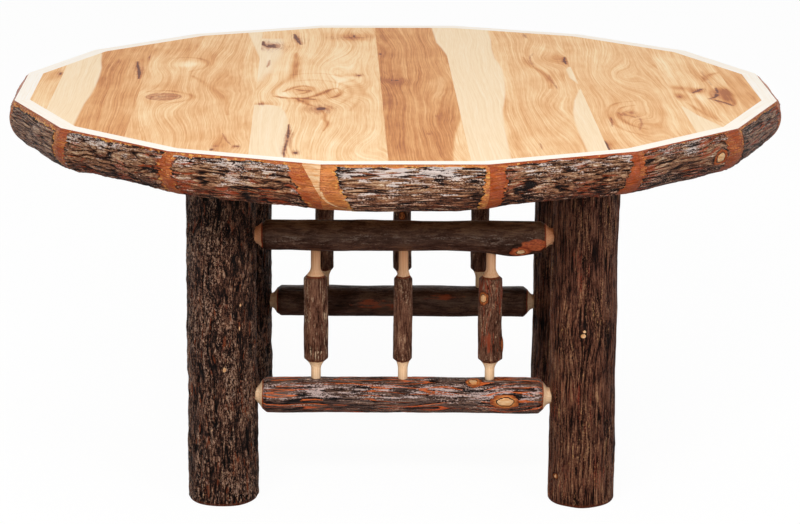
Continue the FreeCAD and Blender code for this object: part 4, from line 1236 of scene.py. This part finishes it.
def tone_of(number, x, y, seed):
    """How dark the heartwood is, from 0 to about 1."""
    tone = GRAIN[number][2] + 0 * x
    for place, share in rows_of(TONES, number):
        tone = tone + share * spot(x, y, place) * (1 + 0.5 * noise(x / 0.015, y / 0.05, seed + 120))
    for share, width, points in SHADES.get(number, ()):
        ragged = 1 + 0.6 * noise(x / 0.020, y / 0.080, seed + 140)
        tone = tone + share * stroke(x, y, points, width) * ragged
    if number == 5:
        tone = tone - 0.52 * smooth(x - border("light_5", y), -0.004, 0.004)
    return tone


def knots_of(number, x, y, seed):
    """Dark knots and streaks, with a fainter ring round each, and the open knots."""
    wobble = 1 + 0.30 * noise(x / 0.008, y / 0.016, seed + 160)
    knot = np.zeros_like(x)
    for place, depth in rows_of(SPOTS, number):
        wider = place[:2] + (2.2 * place[2], 2.4 * place[3])
        knot = np.maximum(knot, depth * spot(x, y, place) * wobble)
        knot = np.maximum(knot, 0.42 * depth * spot(x, y, wider) * wobble)
    for depth, width, points in STROKES.get(number, ()):
        knot = np.maximum(knot, depth * stroke(x, y, points, width) * wobble)
        knot = np.maximum(knot, 0.38 * depth * stroke(x, y, points, 2.8 * width) * wobble)
    if number in OPEN_KNOTS:
        middle_x, middle_y, wide, tall = metres(OPEN_KNOTS[number])
        far = np.hypot((x - middle_x) / wide, (y - middle_y) / tall)
        knot = np.maximum(knot, 0.50 * (1 - smooth(far, 0.85, 1.1)) * wobble)
        knot = np.maximum(knot, 0.60 * np.exp(-((far - 0.95) / 0.08) ** 2))
    return knot


def make_plank(number, material):
    """One plank as a closed mesh whose top carries the fields that the grain follows."""
    limits = (-1.0,) + SEAMS + (1.0,)
    low, high = limits[number - 1] * PLANKS_HALF_WIDTH, limits[number] * PLANKS_HALF_WIDTH
    turns = [k * 2 * math.pi / TOP_SIDES for k in range(1, TOP_SIDES // 2)]
    corner = PLANKS_HALF_WIDTH / math.cos(math.pi / TOP_SIDES)
    corners = [corner * math.cos((k + 0.5) * 2 * math.pi / TOP_SIDES) for k in range(TOP_SIDES // 2)]
    spaced = np.linspace(low, high, max(4, round((high - low) / PLANK_SPACING)))
    across = np.unique(np.round(np.concatenate([spaced, [x for x in corners if low < x < high]]), 7))
    sides = [(PLANKS_HALF_WIDTH - across * math.cos(turn)) / math.sin(turn) for turn in turns]
    y_top = np.linspace(-1, 1, PLANK_STATIONS)[None, :] * np.min(sides, axis=0)[:, None]
    x = np.broadcast_to(across[:, None], (len(across), PLANK_STATIONS + 2))
    y = np.concatenate([y_top, y_top[:, -1:], y_top[:, :1]], axis=1)
    z = np.concatenate([np.full(y_top.shape, TOP_HEIGHT), np.full((len(across), 2), PLANK_BOTTOM)], axis=1)
    flat = np.stack([x, y, z], axis=-1)
    seed = PLANK_SEED + number
    fields = dict(
        place=flat + np.array([0.0, number * PLANK_SHIFT, 0.0]), ring=grain_of(number, x, y, seed),
        sap=plank_sap(number, x, y), tone=tone_of(number, x, y, seed), knot=knots_of(number, x, y, seed),
    )
    name = f"top_plank_{number}"
    points = rotated(flat, TOP_TURN)
    skin(name + "_grained", points, [material, material], False, True, fields, name)


# making the scene
bpy.context.scene.view_settings.view_transform = "Standard"
make_camera()
make_floor()
make_world()
for lamp, settings in LAMPS.items():
    make_lamp(lamp, *settings)

barks = {name: bark_material(name, **colours) for name, colours in BARK_COLOURS.items()}
tenon_wood = cut_wood_material(
    "tenon_wood", (220, 170, 128), (240, 200, 158), (250, 222, 188), (230, 184, 140), painted_shade_tint=(242, 192, 170),
)
band_wood = cut_wood_material("band_wood", (248, 234, 214), (254, 246, 234), (255, 251, 245), (252, 240, 222))
plank_wood = plank_material()
batten_wood = board_material()
steel = steel_material()

for leg, (kind, *_) in LEGS.items():
    make_leg(leg, [barks["leg_bark" if kind == "chunky" else "ridged_bark"], tenon_wood])
for rail, (_, kind, *_) in RAILS.items():
    make_rail(rail, [barks["lower_rail_bark" if kind == "wavy" else "upper_rail_bark"], tenon_wood])
spindles = [f"{side}_spindle_{place}" for side, places in SPINDLE_PLACES.items() for place in places]
for seed, spindle in enumerate(spindles, FIRST_SPINDLE_SEED):
    make_spindle(spindle, seed, [barks["spindle_bark"], tenon_wood])
for number in range(1, TOP_SIDES + 1):
    make_rim_pole(number, [barks["rim_bark"], band_wood])
for number in GRAIN:
    make_plank(number, plank_wood)

for node, material in (
    ("front_batten", batten_wood), ("middle_batten", batten_wood), ("back_batten", batten_wood),
    ("batten_screws", steel), ("leg_lag_screws", steel), ("rim_nails", steel),
):
    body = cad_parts[node].data
    body.materials.clear()
    body.materials.append(material)
